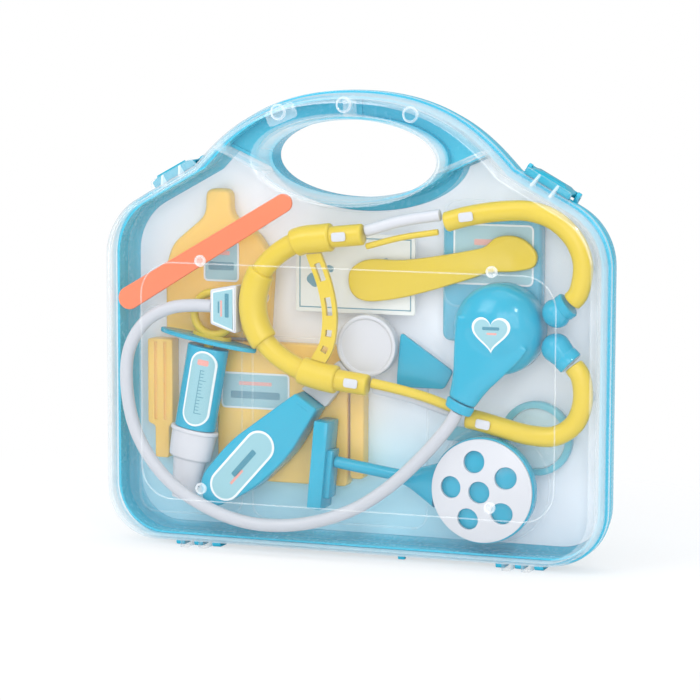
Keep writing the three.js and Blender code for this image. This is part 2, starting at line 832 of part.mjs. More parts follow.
function yoke() {
  const path = new THREE.CatmullRomCurve3(atDepth(yokeShares, yokeDepth), false, "centripetal");
  const collars = yokeCollarShares.map(([from, to]) => {
    const stretch = Array.from({ length: 7 }, (_, i) => path.getPointAt(from + ((to - from) * i) / 6));
    return solid(sweep(stretch, yokeCollarRadius, 6, 12));
  });
  return geometryOf(joined([solid(sweep(path.getPoints(24), yokeRadius, 24, 12)), ...collars]));
}

function strap() {
  const path = new THREE.CatmullRomCurve3(atDepth(strapShares, 0));
  const along = (share, across) => {
    const point = path.getPointAt(share);
    const heading = path.getTangentAt(share);
    return [point.x - heading.z * across, point.z + heading.x * across];
  };
  const ribbon = (from, to, halfBreadth, steps) => {
    const shares = Array.from({ length: steps + 1 }, (_, i) => from + ((to - from) * i) / steps);
    const right = shares.map((share) => along(share, halfBreadth));
    const left = shares.map((share) => along(share, -halfBreadth)).reverse();
    return [...right, ...left];
  };
  const front = yokeDepth - strapThickness / 2;
  const back = yokeDepth + strapThickness / 2;
  const yokePath = new THREE.CatmullRomCurve3(atDepth(yokeShares, yokeDepth), false, "centripetal");
  const room = solid(sweep(yokePath.getPoints(40), yokeCollarRadius + clearance, 40, 24));
  const body = solid(plate(ribbon(0, 1, strapWidth / 2, 14), front, back)).subtract(room);
  return geometryOf(strapSlotShares.reduce((whole, [from, to]) => {
    const slot = plate(ribbon(from, to, strapSlotWidth / 2, 3), front - overrun, back + overrun);
    return whole.subtract(solid(slot));
  }, body));
}

// An ear tip as a bulb on a stem, turned about its own axis and laid from root towards the chestpiece
function earTip(shares) {
  const [root, aim, chest] = atDepth([...shares, chestShare], armDepth);
  const end = aim.sub(chest).setLength(chestRadius + tipGap).add(chest);
  const length = root.distanceTo(end);
  const profile = [[0, 0], [tipRootRadius, 0], [tipRootRadius, length * tipRootShare]];
  const bulbStart = length - tipBulbRadius;
  for (let i = 0; i <= 4; i += 1) {
    const angle = (i / 4) * (Math.PI / 2);
    profile.push([tipBulbRadius * Math.cos(angle), bulbStart + tipBulbRadius * Math.sin(angle)]);
  }
  profile[profile.length - 1][0] = 0;
  const geometry = new THREE.LatheGeometry(profile.map(([r, h]) => new THREE.Vector2(r, h)), 16);
  const turn = new THREE.Quaternion().setFromUnitVectors(
    new THREE.Vector3(0, 1, 0),
    end.clone().sub(root).normalize(),
  );
  geometry.applyQuaternion(turn);
  geometry.translate(root.x, root.y, root.z);
  return geometry;
}

function snapTab(share, front, slope) {
  const geometry = new THREE.BoxGeometry(tabLength, tabThickness, tabWidth);
  geometry.rotateY(-slope);
  const [x, z] = inSet(share);
  geometry.translate(x, front - clearance - tabThickness / 2, z);
  return geometry;
}

function addHeadset(parent) {
  add("headset_yoke", yoke(), colours.yellow, parent);
  add("headset_strap", strap(), colours.yellow, parent);
  const links = [
    ["upper_link_rod", upperRodShares, linkDepth, rodRadius, colours.white],
    ["lower_link_rod", lowerRodShares, lowerRodDepth, rodRadius, colours.white],
    ["upper_link_strip", upperStripShares, linkDepth, stripRadius, colours.yellow],
    ["lower_link_strip", lowerStripShares, linkDepth, lowerStripRadius, colours.yellow],
  ];
  links.forEach(([name, shares, depth, radius, colour]) => {
    add(name, sweep(atDepth(shares, depth), radius, 6, 10), colour, parent);
  });
  add("ear_arm_upper", sweep(atDepth(upperArmShares, armDepth), armRadius, 20, 12), colours.yellow, parent);
  add("ear_arm_lower", sweep(atDepth(lowerArmShares, armDepth), armRadius, 20, 12), colours.yellow, parent);
  add("ear_tip_upper", earTip(upperTipShares), colours.tool, parent);
  add("ear_tip_lower", earTip(lowerTipShares), colours.tool, parent);
  const yokeFront = yokeDepth - yokeRadius;
  const armFront = armDepth - armRadius;
  add("snap_tab_1", snapTab(yokeTabShares[0], yokeFront, yokeTabSlope), colours.white, parent);
  add("snap_tab_2", snapTab(yokeTabShares[1], yokeFront, -yokeTabSlope), colours.white, parent);
  add("snap_tab_3", snapTab(armTabShares[0], armFront, armTabSlope), colours.white, parent);
  add("snap_tab_4", snapTab(armTabShares[1], armFront, -armTabSlope), colours.white, parent);
  const connector = plate(connectorShares.map(inSet), connectorFront, connectorBack, 0);
  add("tube_connector", connector, colours.white, parent);
  const [topLeft, topRight, bottomRight, bottomLeft] = connectorShares.map(inSet);
  const inset = connectorLabelInset;
  const label = [
    [topLeft[0] + inset, topLeft[1] - inset], [topRight[0] - inset, topRight[1] - inset],
    [bottomRight[0] - inset, bottomRight[1] + inset], [bottomLeft[0] + inset, bottomLeft[1] + inset],
  ];
  addLabel("connector_label", label, connectorFront, parent);
}

function addLabel(name, points, carrierFront, parent) {
  const back = carrierFront - labelLift;
  add(name, plate(points, back - labelThickness, back), colours.label, parent, { roughness: 0.5 });
}

function chestDome() {
  const profile = [[0, restPlane], [chestRadius, restPlane], [chestRadius, restPlane - chestSide]];
  const reach = restPlane - chestSide - chestFront;
  for (let i = 1; i <= chestSteps; i += 1) {
    const angle = (i / chestSteps) * (Math.PI / 2);
    profile.push([chestRadius * Math.cos(angle), restPlane - chestSide - reach * Math.sin(angle)]);
  }
  profile[profile.length - 1] = [0, chestFront];
  const geometry = new THREE.LatheGeometry(profile.map(([r, y]) => new THREE.Vector2(r, y)), chestSides);
  const [x, z] = inSet(chestShare);
  geometry.translate(x, 0, z);
  return outward(tidy(geometry));
}

function ovalLoft(stations) {
  const unit = circlePoints(1, 16);
  const first = stations[0].centre;
  const heading = stations[stations.length - 1].centre.clone().sub(first).normalize();
  const across = new THREE.Vector3(0, 1, 0).cross(heading).normalize();
  const rings = stations.map(({ centre, width, depth }) => unit.map((point) => centre.clone()
    .addScaledVector(across, point.x * width)
    .add(new THREE.Vector3(0, point.y * depth, 0))));
  return loft(rings, unit);
}

function chestpiece() {
  const [start] = atDepth([chestShare], neckDepth);
  const [end] = atDepth([chestNeckShare], neckDepth);
  const stations = neckHalfWidthShares.map((share, i) => {
    const step = i / (neckHalfWidthShares.length - 1);
    return {
      centre: start.clone().lerp(end, step),
      width: share * chestRadius,
      depth: neckHalfDepthShares[i] * neckHalfDepth,
    };
  });
  return geometryOf(solid(chestDome()).add(solid(ovalLoft(stations))));
}

function chestCollar() {
  const [start] = atDepth([chestNeckShare], neckDepth);
  const [end] = atDepth([chestEndShare], neckDepth);
  const heading = end.clone().sub(start).normalize();
  const from = start.clone().addScaledVector(heading, clearance);
  return ovalLoft([
    { centre: from, width: collarHalfWidth, depth: collarHalfDepth },
    { centre: end, width: collarHalfWidth * collarEndShare, depth: collarHalfDepth },
  ]);
}

function heartPoints() {
  const [x, z] = inSet(chestShare);
  const steps = 20;
  return Array.from({ length: steps }, (_, i) => {
    const turn = (i / steps) * 2 * Math.PI;
    const up = heartCurve.reduce((sum, weight, wave) => sum + weight * Math.cos((wave + 1) * turn), 0);
    const tallest = heartCurve[0] - heartCurve[1] / 2 - heartCurve[3] / 2;
    return [x + (Math.sin(turn) ** 3 * heartSize) / 2, z + ((up / tallest) * heartSize) / 2];
  });
}

function addChestpiece(parent) {
  add("chestpiece", chestpiece(), colours.tool, parent);
  add("chestpiece_collar", chestCollar(), colours.tool, parent);
  const top = chestFront + heartLift;
  const slug = solid(plate(heartPoints(), chestFront - overrun, top + overrun));
  const skin = solid(chestpiece());
  const lifted = skin.translate([0, -labelLift, 0]);
  const shell = skin.translate([0, -labelLift - labelThickness, 0]).subtract(lifted);
  add("heart_label", geometryOf(shell.intersect(slug)), colours.label, parent, { roughness: 0.5 });
}

function addOtoscope(parent) {
  const handle = plate(otoscopeShares.map(inSet), looseFront, restPlane, otoscopeBevel);
  add("otoscope_handle", handle, colours.tool, parent);
  const label = pill(inSet(otoscopeLabelShares[0]), inSet(otoscopeLabelShares[1]), otoscopeLabelHalfWidth);
  addLabel("otoscope_label", label, looseFront, parent);
  const low = inSet(otoscopeShares[0]);
  const high = inSet(otoscopeShares[otoscopeShares.length - 1]);
  const root = new THREE.Vector2((low[0] + high[0]) / 2, (low[1] + high[1]) / 2);
  const disc = new THREE.Vector2(...inSet(discShare));
  const heading = disc.clone().sub(root).normalize();
  const across = new THREE.Vector2(-heading.y, heading.x);
  const topEdge = new THREE.Vector2(high[0] - low[0], high[1] - low[1]).normalize();
  const seat = new THREE.Vector2(topEdge.y, -topEdge.x);
  const from = root.clone().addScaledVector(seat, clearance);
  const reach = disc.distanceTo(root) - discRadius - clearance;
  const to = root.clone().addScaledVector(heading, reach);
  const neck = [
    from.clone().addScaledVector(topEdge, -neckRootHalfWidth),
    to.clone().addScaledVector(across, -neckTipHalfWidth),
    to.clone().addScaledVector(across, neckTipHalfWidth),
    from.clone().addScaledVector(topEdge, neckRootHalfWidth),
  ].map((point) => [point.x, point.y]);
  add("otoscope_neck", plate(neck, neckFront, restPlane), colours.white, parent);
  const rim = discRadius - discRim;
  const profile = [
    [0, restPlane], [discRadius, restPlane], [discRadius, discFront], [rim, discFront],
    [rim - discStep / 2, discFront + discStep], [0, discFront + discStep],
  ];
  const plateDisc = new THREE.LatheGeometry(profile.map(([r, y]) => new THREE.Vector2(r, y)), 28);
  plateDisc.translate(disc.x, 0, disc.y);
  add("otoscope_disc", outward(tidy(plateDisc)), colours.white, parent);
}

function barrel() {
  const outer = new THREE.CylinderGeometry(1, 1, barrelLength - flangeThickness - clearance, 24);
  outer.rotateX(Math.PI / 2);
  outer.scale(barrelRadius, barrelHalfDepth, 1);
  outer.translate(0, 0, (barrelLength - flangeThickness - clearance) / 2);
  const flange = new THREE.CylinderGeometry(1, 1, flangeThickness + 2 * clearance, 24);
  flange.rotateX(Math.PI / 2);
  flange.scale(flangeHalfLength, barrelHalfDepth, 1);
  flange.translate(-flangeOffset, 0, barrelLength - flangeThickness / 2);
  const bore = new THREE.CylinderGeometry(barrelBore, barrelBore, barrelLength, 16);
  bore.rotateX(Math.PI / 2);
  bore.translate(0, 0, barrelLength / 2 + baseWall + overrun);
  return geometryOf(solid(outer).add(solid(flange)).subtract(solid(bore)));
}

function plunger() {
  const low = barrelLength + plungerRise;
  const rodLength = plungerRodShare * barrelLength;
  const rod = new THREE.CylinderGeometry(barrelBore - borePlay, barrelBore - borePlay, rodLength, 16);
  rod.rotateX(Math.PI / 2);
  rod.translate(0, 0, low + overrun - rodLength / 2);
  const thumb = new THREE.CylinderGeometry(1, 1, thumbThickness, 24);
  thumb.rotateX(Math.PI / 2);
  thumb.scale(thumbHalfLength, thumbHalfDepth, 1);
  thumb.translate(0, thumbOffset, low + thumbThickness / 2);
  const ring = new THREE.TorusGeometry(ringRadius, ringThickness, 10, 26);
  ring.rotateX(Math.PI / 2);
  ring.translate(0, 0, low + thumbThickness + ringRadius);
  return geometryOf(solid(rod).add(solid(thumb)).add(solid(ring)));
}

function sleeve() {
  const profile = [
    [0, -clearance], [sleeveRimRadius, -clearance], [sleeveRimRadius, -sleeveRimHeight],
    [sleeveRadius, -sleeveRimHeight - clearance], [sleeveRadius * sleeveSkirtShare, -sleeveStepDown],
    [sleeveTubeRadius, -sleeveStepDown - overrun], [sleeveTipRadius, -sleeveLength], [0, -sleeveLength],
  ];
  const geometry = new THREE.LatheGeometry(profile.map(([r, h]) => new THREE.Vector2(r, h)).reverse(), 24);
  geometry.rotateX(Math.PI / 2);
  geometry.scale(1, sleeveDepthShare, 1);
  return outward(tidy(geometry));
}

function addSyringe(parent) {
  const frame = new THREE.Group();
  const [x, z] = inSet(syringeShare);
  const depth = restPlane - barrelHalfDepth;
  frame.position.set(x, depth, z);
  frame.rotation.y = syringeTilt;
  parent.add(frame);
  add("syringe_barrel", barrel(), colours.tool, frame);
  add("syringe_plunger", plunger(), colours.yellow, frame);
  add("syringe_sleeve", sleeve(), colours.white, frame);
  const [low, high] = syringeLabelShares.map((share) => share * barrelLength);
  const slug = solid(plate(
    pill(
      [syringeLabelOffset, low + syringeLabelHalfWidth],
      [syringeLabelOffset, high - syringeLabelHalfWidth],
      syringeLabelHalfWidth,
    ),
    -barrelHalfDepth - overrun,
    0,
  ));
  const skin = (growth) => {
    const tube = new THREE.CylinderGeometry(1, 1, barrelLength, 24);
    tube.rotateX(Math.PI / 2);
    tube.scale(barrelRadius + growth, barrelHalfDepth + growth, 1);
    tube.translate(0, 0, barrelLength / 2);
    return solid(tube);
  };
  const label = skin(labelLift + labelThickness).subtract(skin(labelLift)).intersect(slug);
  add("syringe_label", geometryOf(label), colours.label, frame, { roughness: 0.5 });
}

function addHammer(parent) {
  const [top, bottom] = hammerHeadShares.map(inSet);
  const height = Math.hypot(top[0] - bottom[0], top[1] - bottom[1]);
  const frame = new THREE.Group();
  frame.position.set(bottom[0], 0, bottom[1]);
  frame.rotation.y = Math.atan2(top[0] - bottom[0], top[1] - bottom[1]);
  parent.add(frame);
  const edge = hammerHeadWidth / 2;
  const head = solid(block([-edge, looseFront, 0], [edge, restPlane, height]));
  const [low, high] = hammerCollarShares.map((share) => share * height);
  const middle = (looseFront + restPlane) / 2;
  const collar = solid(block(
    [edge - overrun, middle - hammerCollarDepth / 2, low],
    [edge + hammerCollarWidth, middle + hammerCollarDepth / 2, high],
  ));
  add("hammer_head", geometryOf(head.add(collar)), colours.tool, frame);
  const from = new THREE.Vector3(edge + hammerCollarWidth + clearance, shaftDepth, shaftRootShare * height);
  from.applyEuler(frame.rotation).add(frame.position);
  const [to] = atDepth([shaftEndShare], shaftDepth);
  const flareEnd = new THREE.Vector3(flareEndShare * setHalfWidth, shaftDepth, inSet(drumShare)[1]);
  const shaft = solid(sweep([from, to], shaftRadius, 2, 14));
  const flare = solid(ovalLoft([
    { centre: to.clone().lerp(from, flareRootShare), width: shaftRadius, depth: shaftRadius },
    {
      centre: to.clone().lerp(flareEnd, flareMiddleShare),
      width: flareHalfHeight * flareMiddleSizeShares[0],
      depth: flareHalfDepth * flareMiddleSizeShares[1],
    },
    { centre: flareEnd, width: flareHalfHeight, depth: flareHalfDepth },
  ]));
  const [drumX, drumZ] = inSet(drumShare);
  const room = solid(rodAlongY(drumRadius + clearance, looseFront - baseDepth, baseDepth, drumX, drumZ, 48));
  add("hammer_shaft", geometryOf(shaft.add(flare).subtract(room)), colours.tool, parent);
}

function domeSkin(low, radius, rise) {
  const profile = [[0, low]];
  for (let i = 0; i <= coverSteps; i += 1) {
    const reach = radius * (1 - i / coverSteps);
    profile.push([reach, low - rise * (1 - (reach / radius) ** 2) - coverThickness]);
  }
  profile.splice(1, 0, [radius, low]);
  const geometry = new THREE.LatheGeometry(profile.map(([r, y]) => new THREE.Vector2(r, y)), 30);
  return outward(tidy(geometry));
}

function addDrum(parent) {
  const [x, z] = inSet(drumShare);
  const profile = [
    [0, restPlane], [drumBackRadius, restPlane], [drumRadius, drumFloor + drumSide],
    [drumRadius, drumFloor], [0, drumFloor],
  ];
  const cup = new THREE.LatheGeometry(profile.map(([r, y]) => new THREE.Vector2(r, y)), 36);
  cup.translate(x, 0, z);
  add("hearing_drum", outward(tidy(cup)), colours.tool, parent);
  const seat = drumFloor - clearance;
  const outer = solid(domeSkin(seat, coverRadius, coverDome));
  const innerRise = coverDome - coverThickness / 2;
  const inner = solid(domeSkin(seat + coverThickness, coverRadius - coverThickness, innerRise));
  const holes = Array.from({ length: coverHoleCount }, (_, i) => {
    const angle = coverHoleTurn + (i / coverHoleCount) * 2 * Math.PI;
    return [coverHoleReach * Math.cos(angle), coverHoleReach * Math.sin(angle)];
  });
  const cut = [[0, 0], ...holes].reduce((whole, [dx, dz]) => {
    const front = seat - coverDome - 2 * coverThickness;
    return whole.subtract(solid(rodAlongY(coverHoleRadius, front, seat + overrun, dx, dz, 16)));
  }, outer.subtract(inner));
  const cover = geometryOf(cut);
  cover.translate(x, 0, z);
  add("drum_cover", cover, colours.white, parent);
}

function boxOutline(shares, corner) {
  const [low, high] = shares.map(inSet);
  return roundedBox(low, high, corner);
}

function addRearLayer(parent) {
  const label = labelThickness + labelLift;
  const bodyFront = rearFront + label;
  const rear = (points, bevel) => plate(points, bodyFront, rearBack, bevel);
  add("toy_bottle", rear(bottleShares.map(inSet), bottleBevel), colours.tan, parent);
  addLabel("bottle_label", boxOutline(bottleLabelShares, bottleBevel), bodyFront, parent);
  add("record_book", rear(boxOutline(bookShares, bookBevel * 2), bookBevel), colours.tan, parent);
  addLabel("book_label", boxOutline(bookLabelShares, bookBevel * 2), bodyFront, parent);
  add("ruler_bar", rear(boxOutline(barShares, bookBevel * 2), bookBevel), colours.tan, parent);
  const dropper = dropperGrooveShares.reduce((whole, share) => {
    const [x, low] = inSet([share, dropperShares[3][1]]);
    const groove = block(
      [x - dropperGroove / 2, rearFront - overrun, low + dropperGroove],
      [x + dropperGroove / 2, rearFront + dropperGroove, inSet(dropperShares[4])[1] - dropperGroove],
    );
    return whole.subtract(solid(groove));
  }, solid(plate(dropperShares.map(inSet), rearFront, rearBack, 0)));
  add("ridged_dropper", geometryOf(dropper), colours.tan, parent);
  const [cardLow, cardHigh] = pictureShares.map(inSet);
  const pictureEdge = roundedBox(cardLow, cardHigh, pictureThickness);
  const picture = plate(pictureEdge, rearFront, rearFront + pictureThickness);
  add("picture_card", picture, colours.picture, parent);
  add("toy_phone", rear(boxOutline(deviceShares, deviceBevel * 2), deviceBevel), colours.tool, parent);
  addLabel("phone_label", boxOutline(deviceLabelShares, deviceLabelCorner), bodyFront, parent);
  const [x, z] = inSet(lensShare);
  const back = rearFront + lensDepth;
  const frame = solid(rodAlongY(lensRadius, rearFront, back, x, z, 32));
  const hole = solid(rodAlongY(lensRadius - lensFrame, rearFront - overrun, back + overrun, x, z, 32));
  const grip = solid(block(
    [x - lensRadius - lensHandleLength, rearFront, z - lensHandleWidth / 2],
    [x - lensRadius + lensFrame / 2, back, z + lensHandleWidth / 2],
  ));
  add("lens_frame", geometryOf(frame.add(grip).subtract(hole)), colours.teal, parent);
  const middle = (rearFront + back) / 2;
  const lens = rodAlongY(
    lensRadius - lensFrame - clearance,
    middle - lensThickness / 2,
    middle + lensThickness / 2,
    x,
    z,
    32,
  );
  add("lens", lens, colours.clear, parent, { roughness: 0.1 });
}

function addLoosePieces(parent) {
  const [start, end] = depressorShares.map(inSet);
  const edge = pill(start, end, ...depressorHalfWidths);
  const stick = plate(edge, depressorBack - depressorThickness, depressorBack);
  add("tongue_depressor", stick, colours.orange, parent, { roughness: 0.6 });
  const spatula = plate(spatulaShares.map(inSet), restPlane - spatulaThickness, restPlane, spatulaBevel);
  add("spatula", spatula, colours.yellow, parent);
  add("blue_wedge", plate(wedgeShares.map(inSet), restPlane - wedgeThickness, restPlane), colours.tool, parent);
}

const group = new THREE.Group();
const inCase = new THREE.Group();
inCase.position.set(0, (lidDepth + bossRise - baseDepth) / 2, hingeDrop);
group.add(inCase);
const set = new THREE.Group();
set.scale.set(setFit, 1, setFit);
inCase.add(set);
add("base_shell", baseShell(), colours.base, inCase);
add("clear_lid", clearLid(), colours.clear, inCase, { roughness: 0.1 });
add("latch_right", latch(1), colours.latch, inCase);
add("latch_left", latch(-1), colours.latch, inCase);
const card = flatSheet(cardBack - cardThickness, cardBack, cardMargin);
add("backing_card", geometryOf(card), colours.card, inCase);
const tray = joined([flatSheet(trayFront, trayFront + trayThickness, sheetMargin), ...trayPosts()]);
add("inner_tray", geometryOf(tray), colours.clear, inCase, { roughness: 0.15 });
addLoosePieces(set);
addHeadset(set);
add(
  "stethoscope_tube",
  sweep(tubeRoute.map((point) => new THREE.Vector3(...point)), tubeRadius, tubeSteps, tubeSides),
  colours.white,
  set,
);
addChestpiece(set);
addOtoscope(set);
addSyringe(set);
addHammer(set);
addDrum(set);
addRearLayer(set);

export default group;
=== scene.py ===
"""A toy doctor case standing on its hinges: clear lid in front, cyan base behind, toy tools between them."""

import math

import bmesh
import bpy
from mathutils import Matrix, Vector


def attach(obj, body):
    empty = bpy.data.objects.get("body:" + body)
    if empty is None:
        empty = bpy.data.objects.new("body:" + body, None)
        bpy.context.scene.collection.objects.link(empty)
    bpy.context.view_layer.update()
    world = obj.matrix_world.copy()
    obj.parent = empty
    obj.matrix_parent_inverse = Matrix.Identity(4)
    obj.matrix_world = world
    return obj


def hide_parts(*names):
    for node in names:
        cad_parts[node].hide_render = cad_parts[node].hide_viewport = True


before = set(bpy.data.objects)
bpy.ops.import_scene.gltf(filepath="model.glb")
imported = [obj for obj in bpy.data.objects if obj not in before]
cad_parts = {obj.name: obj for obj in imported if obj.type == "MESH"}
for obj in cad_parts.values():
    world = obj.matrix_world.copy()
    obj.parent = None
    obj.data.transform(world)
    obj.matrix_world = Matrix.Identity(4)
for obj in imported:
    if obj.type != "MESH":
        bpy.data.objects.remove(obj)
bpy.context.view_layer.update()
bpy.ops.object.select_all(action="DESELECT")

# Sizes in millimetres, in the frame of the case's seam: X right, Y to the back, Z up from the bottom edge
MM = 0.001
HALF_WIDTH = 134
HEIGHT = 238
LID_DEPTH = 21
BASE_DEPTH = 19
BOSS_RISE = 0.7
HINGE_DROP = 3.4
CENTRING = (LID_DEPTH + BOSS_RISE - BASE_DEPTH) / 2
CLEARANCE = 0.3
OUT = Vector((0, -1, 0))
BACK = Vector((0, 1, 0))
UP = Vector((0, 0, 1))

# Outline of the case
BOTTOM_CORNER = 29
TOP_CORNER = 36
TOP_CORNER_HEIGHT = 0.63 * HEIGHT
SHOULDER_ANGLE = math.radians(29)
SHOULDER_LENGTH = 36
HANDLE_SHARES = [(0.522, 0.899), (0.373, 0.994), (0, 0.994)]
CORNER_STEPS = 14
HANDLE_STEPS = 34

# Walls and rims: a half of the case is its side of the seam, its depth and its wall
RIM_WIDTH = 4
RIM_STEP = 1.2
RIM_ROUND = 0.4
DRAFT = 0.8
EDGE_ROUND = 5
EDGE_STEPS = 7
LID_HALF = (-1, LID_DEPTH, 1.5)
BASE_HALF = (1, BASE_DEPTH, 1.6)

# Finger hole and the slanted ribs beside it
GRIP_HALF_WIDTH = 46.5
GRIP_HALF_HEIGHT = 19.4
GRIP_HEIGHT = 0.849 * HEIGHT
GRIP_FLARE = 5
GRIP_STEPS = 72
SLANTED_RIB = [(0.3, 0.813), (0.66, 0.904)]
SINK = 0.3

# Latches
LATCH_HALF_LENGTH = 13
PIVOT_DEPTH = 9
PIVOT_HEIGHT = 2.1

# Depths of the layers inside
REST = 5.9
LOOSE_FRONT = -10.9
REAR_FRONT = 7.7
REAR_BACK = 16.3
TRAY_FRONT = 6.2
CARD_BACK = 17.1
CARD_THICKNESS = 0.5


def row(x, y, z):
    """A place in the case's own millimetres as a point of the row frame, in metres."""
    return Vector((x * MM, (y + CENTRING) * MM, (z + HINGE_DROP) * MM))


def at(share):
    """Millimetres from the middle and from the bottom edge, of a share of the half width and height."""
    return share[0] * HALF_WIDTH, share[1] * HEIGHT


def spread(shares, depth):
    return [row(x, depth, z) for x, z in map(at, shares)]


# Camera
TARGET = (-3.82, 0, 103.955)
AZIMUTH = math.radians(19.806)
ELEVATION = math.radians(7.257)
ROLL = math.radians(0.171)
DISTANCE = 1460.8
LENS = 146.9


def add_camera():
    bpy.ops.object.camera_add()
    camera = bpy.context.object
    camera.name = "photo_camera"
    camera.data.lens = LENS
    camera.data.clip_end = 20
    level = math.cos(ELEVATION)
    outward = Vector((math.sin(AZIMUTH) * level, -math.cos(AZIMUTH) * level, math.sin(ELEVATION)))
    camera.location = row(*TARGET) + outward * DISTANCE * MM
    turn = outward.to_track_quat("Z", "Y").to_matrix().to_4x4()
    camera.matrix_world = Matrix.Translation(camera.location) @ turn @ Matrix.Rotation(ROLL, 4, "Z")
    bpy.context.scene.camera = camera


# Materials
def linear(code):
    """An sRGB hex colour as linear RGBA."""
    values = [int(code[i:i + 2], 16) / 255 for i in (1, 3, 5)]
    return (*[v / 12.92 if v <= 0.04045 else ((v + 0.055) / 1.055) ** 2.4 for v in values], 1)


WHITE = linear("#FFFFFF")


def add_node(tree, kind, settings=None, **inputs):
    """A node with its settings. Each input is a value, a socket, or a node whose first output feeds it."""
    node = tree.nodes.new("ShaderNode" + kind)
    for name, value in (settings or {}).items():
        setattr(node, name, value)
    for name, value in inputs.items():
        socket = node.inputs[int(name[1:]) if name[0] == "_" else name.replace("_", " ")]
        if isinstance(value, bpy.types.Node):
            value = value.outputs[0]
        if isinstance(value, bpy.types.NodeSocket):
            tree.links.new(value, socket)
        else:
            socket.default_value = value
    return node


def new_tree(name):
    material = bpy.data.materials.new(name)
    material.use_nodes = True
    material.node_tree.nodes.clear()
    return material, material.node_tree


def moulded(name, colour, roughness=0.3, grain=3.0, tone=0.06, ior=1.5, relief=0.003):
    """Injection-moulded plastic: one body colour that drifts slightly, under a skin of fine mould grain that
    varies the gloss. Grain is the skin's width and relief its height, in millimetres."""
    material, tree = new_tree(name)
    place = add_node(tree, "TexCoord").outputs["Object"]
    drift = add_node(tree, "TexNoise", Vector=place, Scale=1 / (30 * MM), Detail=2.0)
    darker, lighter = ([min(1, v * share) for v in linear(colour)] for share in (1 - tone, 1 + tone))
    darker[3] = lighter[3] = 1
    mixed = add_node(tree, "Mix", {"data_type": "RGBA"}, _0=drift, _6=darker, _7=lighter)
    skin = add_node(tree, "TexNoise", Vector=place, Scale=1 / (grain * MM), Detail=2.0)
    low, high = roughness * 0.92, roughness * 1.1
    gloss = add_node(tree, "MapRange", Value=skin, From_Min=0.3, From_Max=0.7, To_Min=low, To_Max=high)
    bump = add_node(tree, "Bump", Strength=0.25, Distance=relief * MM, Height=skin)
    surface = add_node(
        tree, "BsdfPrincipled", Base_Color=mixed.outputs[2], Roughness=gloss, IOR=ior, Normal=bump,
    )
    add_node(tree, "OutputMaterial", Surface=surface)
    return material


def clear_sheet(name, tint, straight, grazing, mirror=0.05, roughness=0.04, wave=0.35, glare=0.6):
    """Clear plastic: seen straight on it is nearly gone, at a slant it turns milky and mirrors the lamps.
    Shadow and diffuse rays pass it."""
    material, tree = new_tree(name)
    place = add_node(tree, "TexCoord").outputs["Object"]
    waves = add_node(tree, "TexNoise", Vector=place, Scale=1 / (45 * MM), Detail=1.0)
    bump = add_node(tree, "Bump", Strength=0.15, Distance=wave * MM, Height=waves)
    slant = add_node(tree, "LayerWeight", Blend=0.5).outputs["Facing"]
    milk = add_node(
        tree, "MapRange", {"interpolation_type": "SMOOTHSTEP"},
        Value=slant, From_Min=0.25, From_Max=0.95, To_Min=straight, To_Max=grazing,
    )
    body = add_node(tree, "BsdfPrincipled", Base_Color=linear(tint), Roughness=0.4, IOR=1.59)
    through = add_node(tree, "BsdfTransparent", Color=WHITE)
    inside = add_node(tree, "MixShader", _0=milk, _1=through, _2=body)
    sharp = add_node(tree, "Math", {"operation": "POWER"}, _0=slant, _1=4.0)
    gloss = add_node(tree, "MapRange", Value=sharp, To_Min=mirror, To_Max=glare)
    skin = add_node(tree, "BsdfAnisotropic", Color=WHITE, Roughness=roughness, Normal=bump)
    shown = add_node(tree, "MixShader", _0=gloss, _1=inside, _2=skin)
    ray = add_node(tree, "LightPath").outputs
    lets = add_node(tree, "Math", {"operation": "MAXIMUM"}, _0=ray["Is Shadow Ray"], _1=ray["Is Diffuse Ray"])
    mixed = add_node(tree, "MixShader", _0=lets, _1=shown, _2=through)
    add_node(tree, "OutputMaterial", Surface=mixed)
    return material


def sheet_card():
    """Pale lavender card whose printed foot turns light blue, but for a strip at its right."""
    material = moulded("pale_lavender_coated_card", "#EEF0F6", 0.6, grain=1.2, tone=0.02, relief=0.002)
    tree = material.node_tree
    surface = next(node for node in tree.nodes if node.type == "BSDF_PRINCIPLED")
    paper = surface.inputs["Base Color"].links[0].from_socket
    place = add_node(tree, "TexCoord").outputs["Object"]
    parts = add_node(tree, "SeparateXYZ", Vector=place).outputs
    smooth = {"interpolation_type": "SMOOTHSTEP"}
    foot = add_node(tree, "MapRange", smooth, Value=parts["Z"], From_Min=0.09, From_Max=0.028)
    side = add_node(tree, "MapRange", smooth, Value=parts["X"], From_Min=0.085, From_Max=0.05)
    both = add_node(tree, "Math", {"operation": "MULTIPLY"}, _0=foot, _1=side)
    tinted = add_node(tree, "Mix", {"data_type": "RGBA"}, _0=both, _6=paper, _7=linear("#A6DDED"))
    tree.links.new(tinted.outputs[2], surface.inputs["Base Color"])
    return material


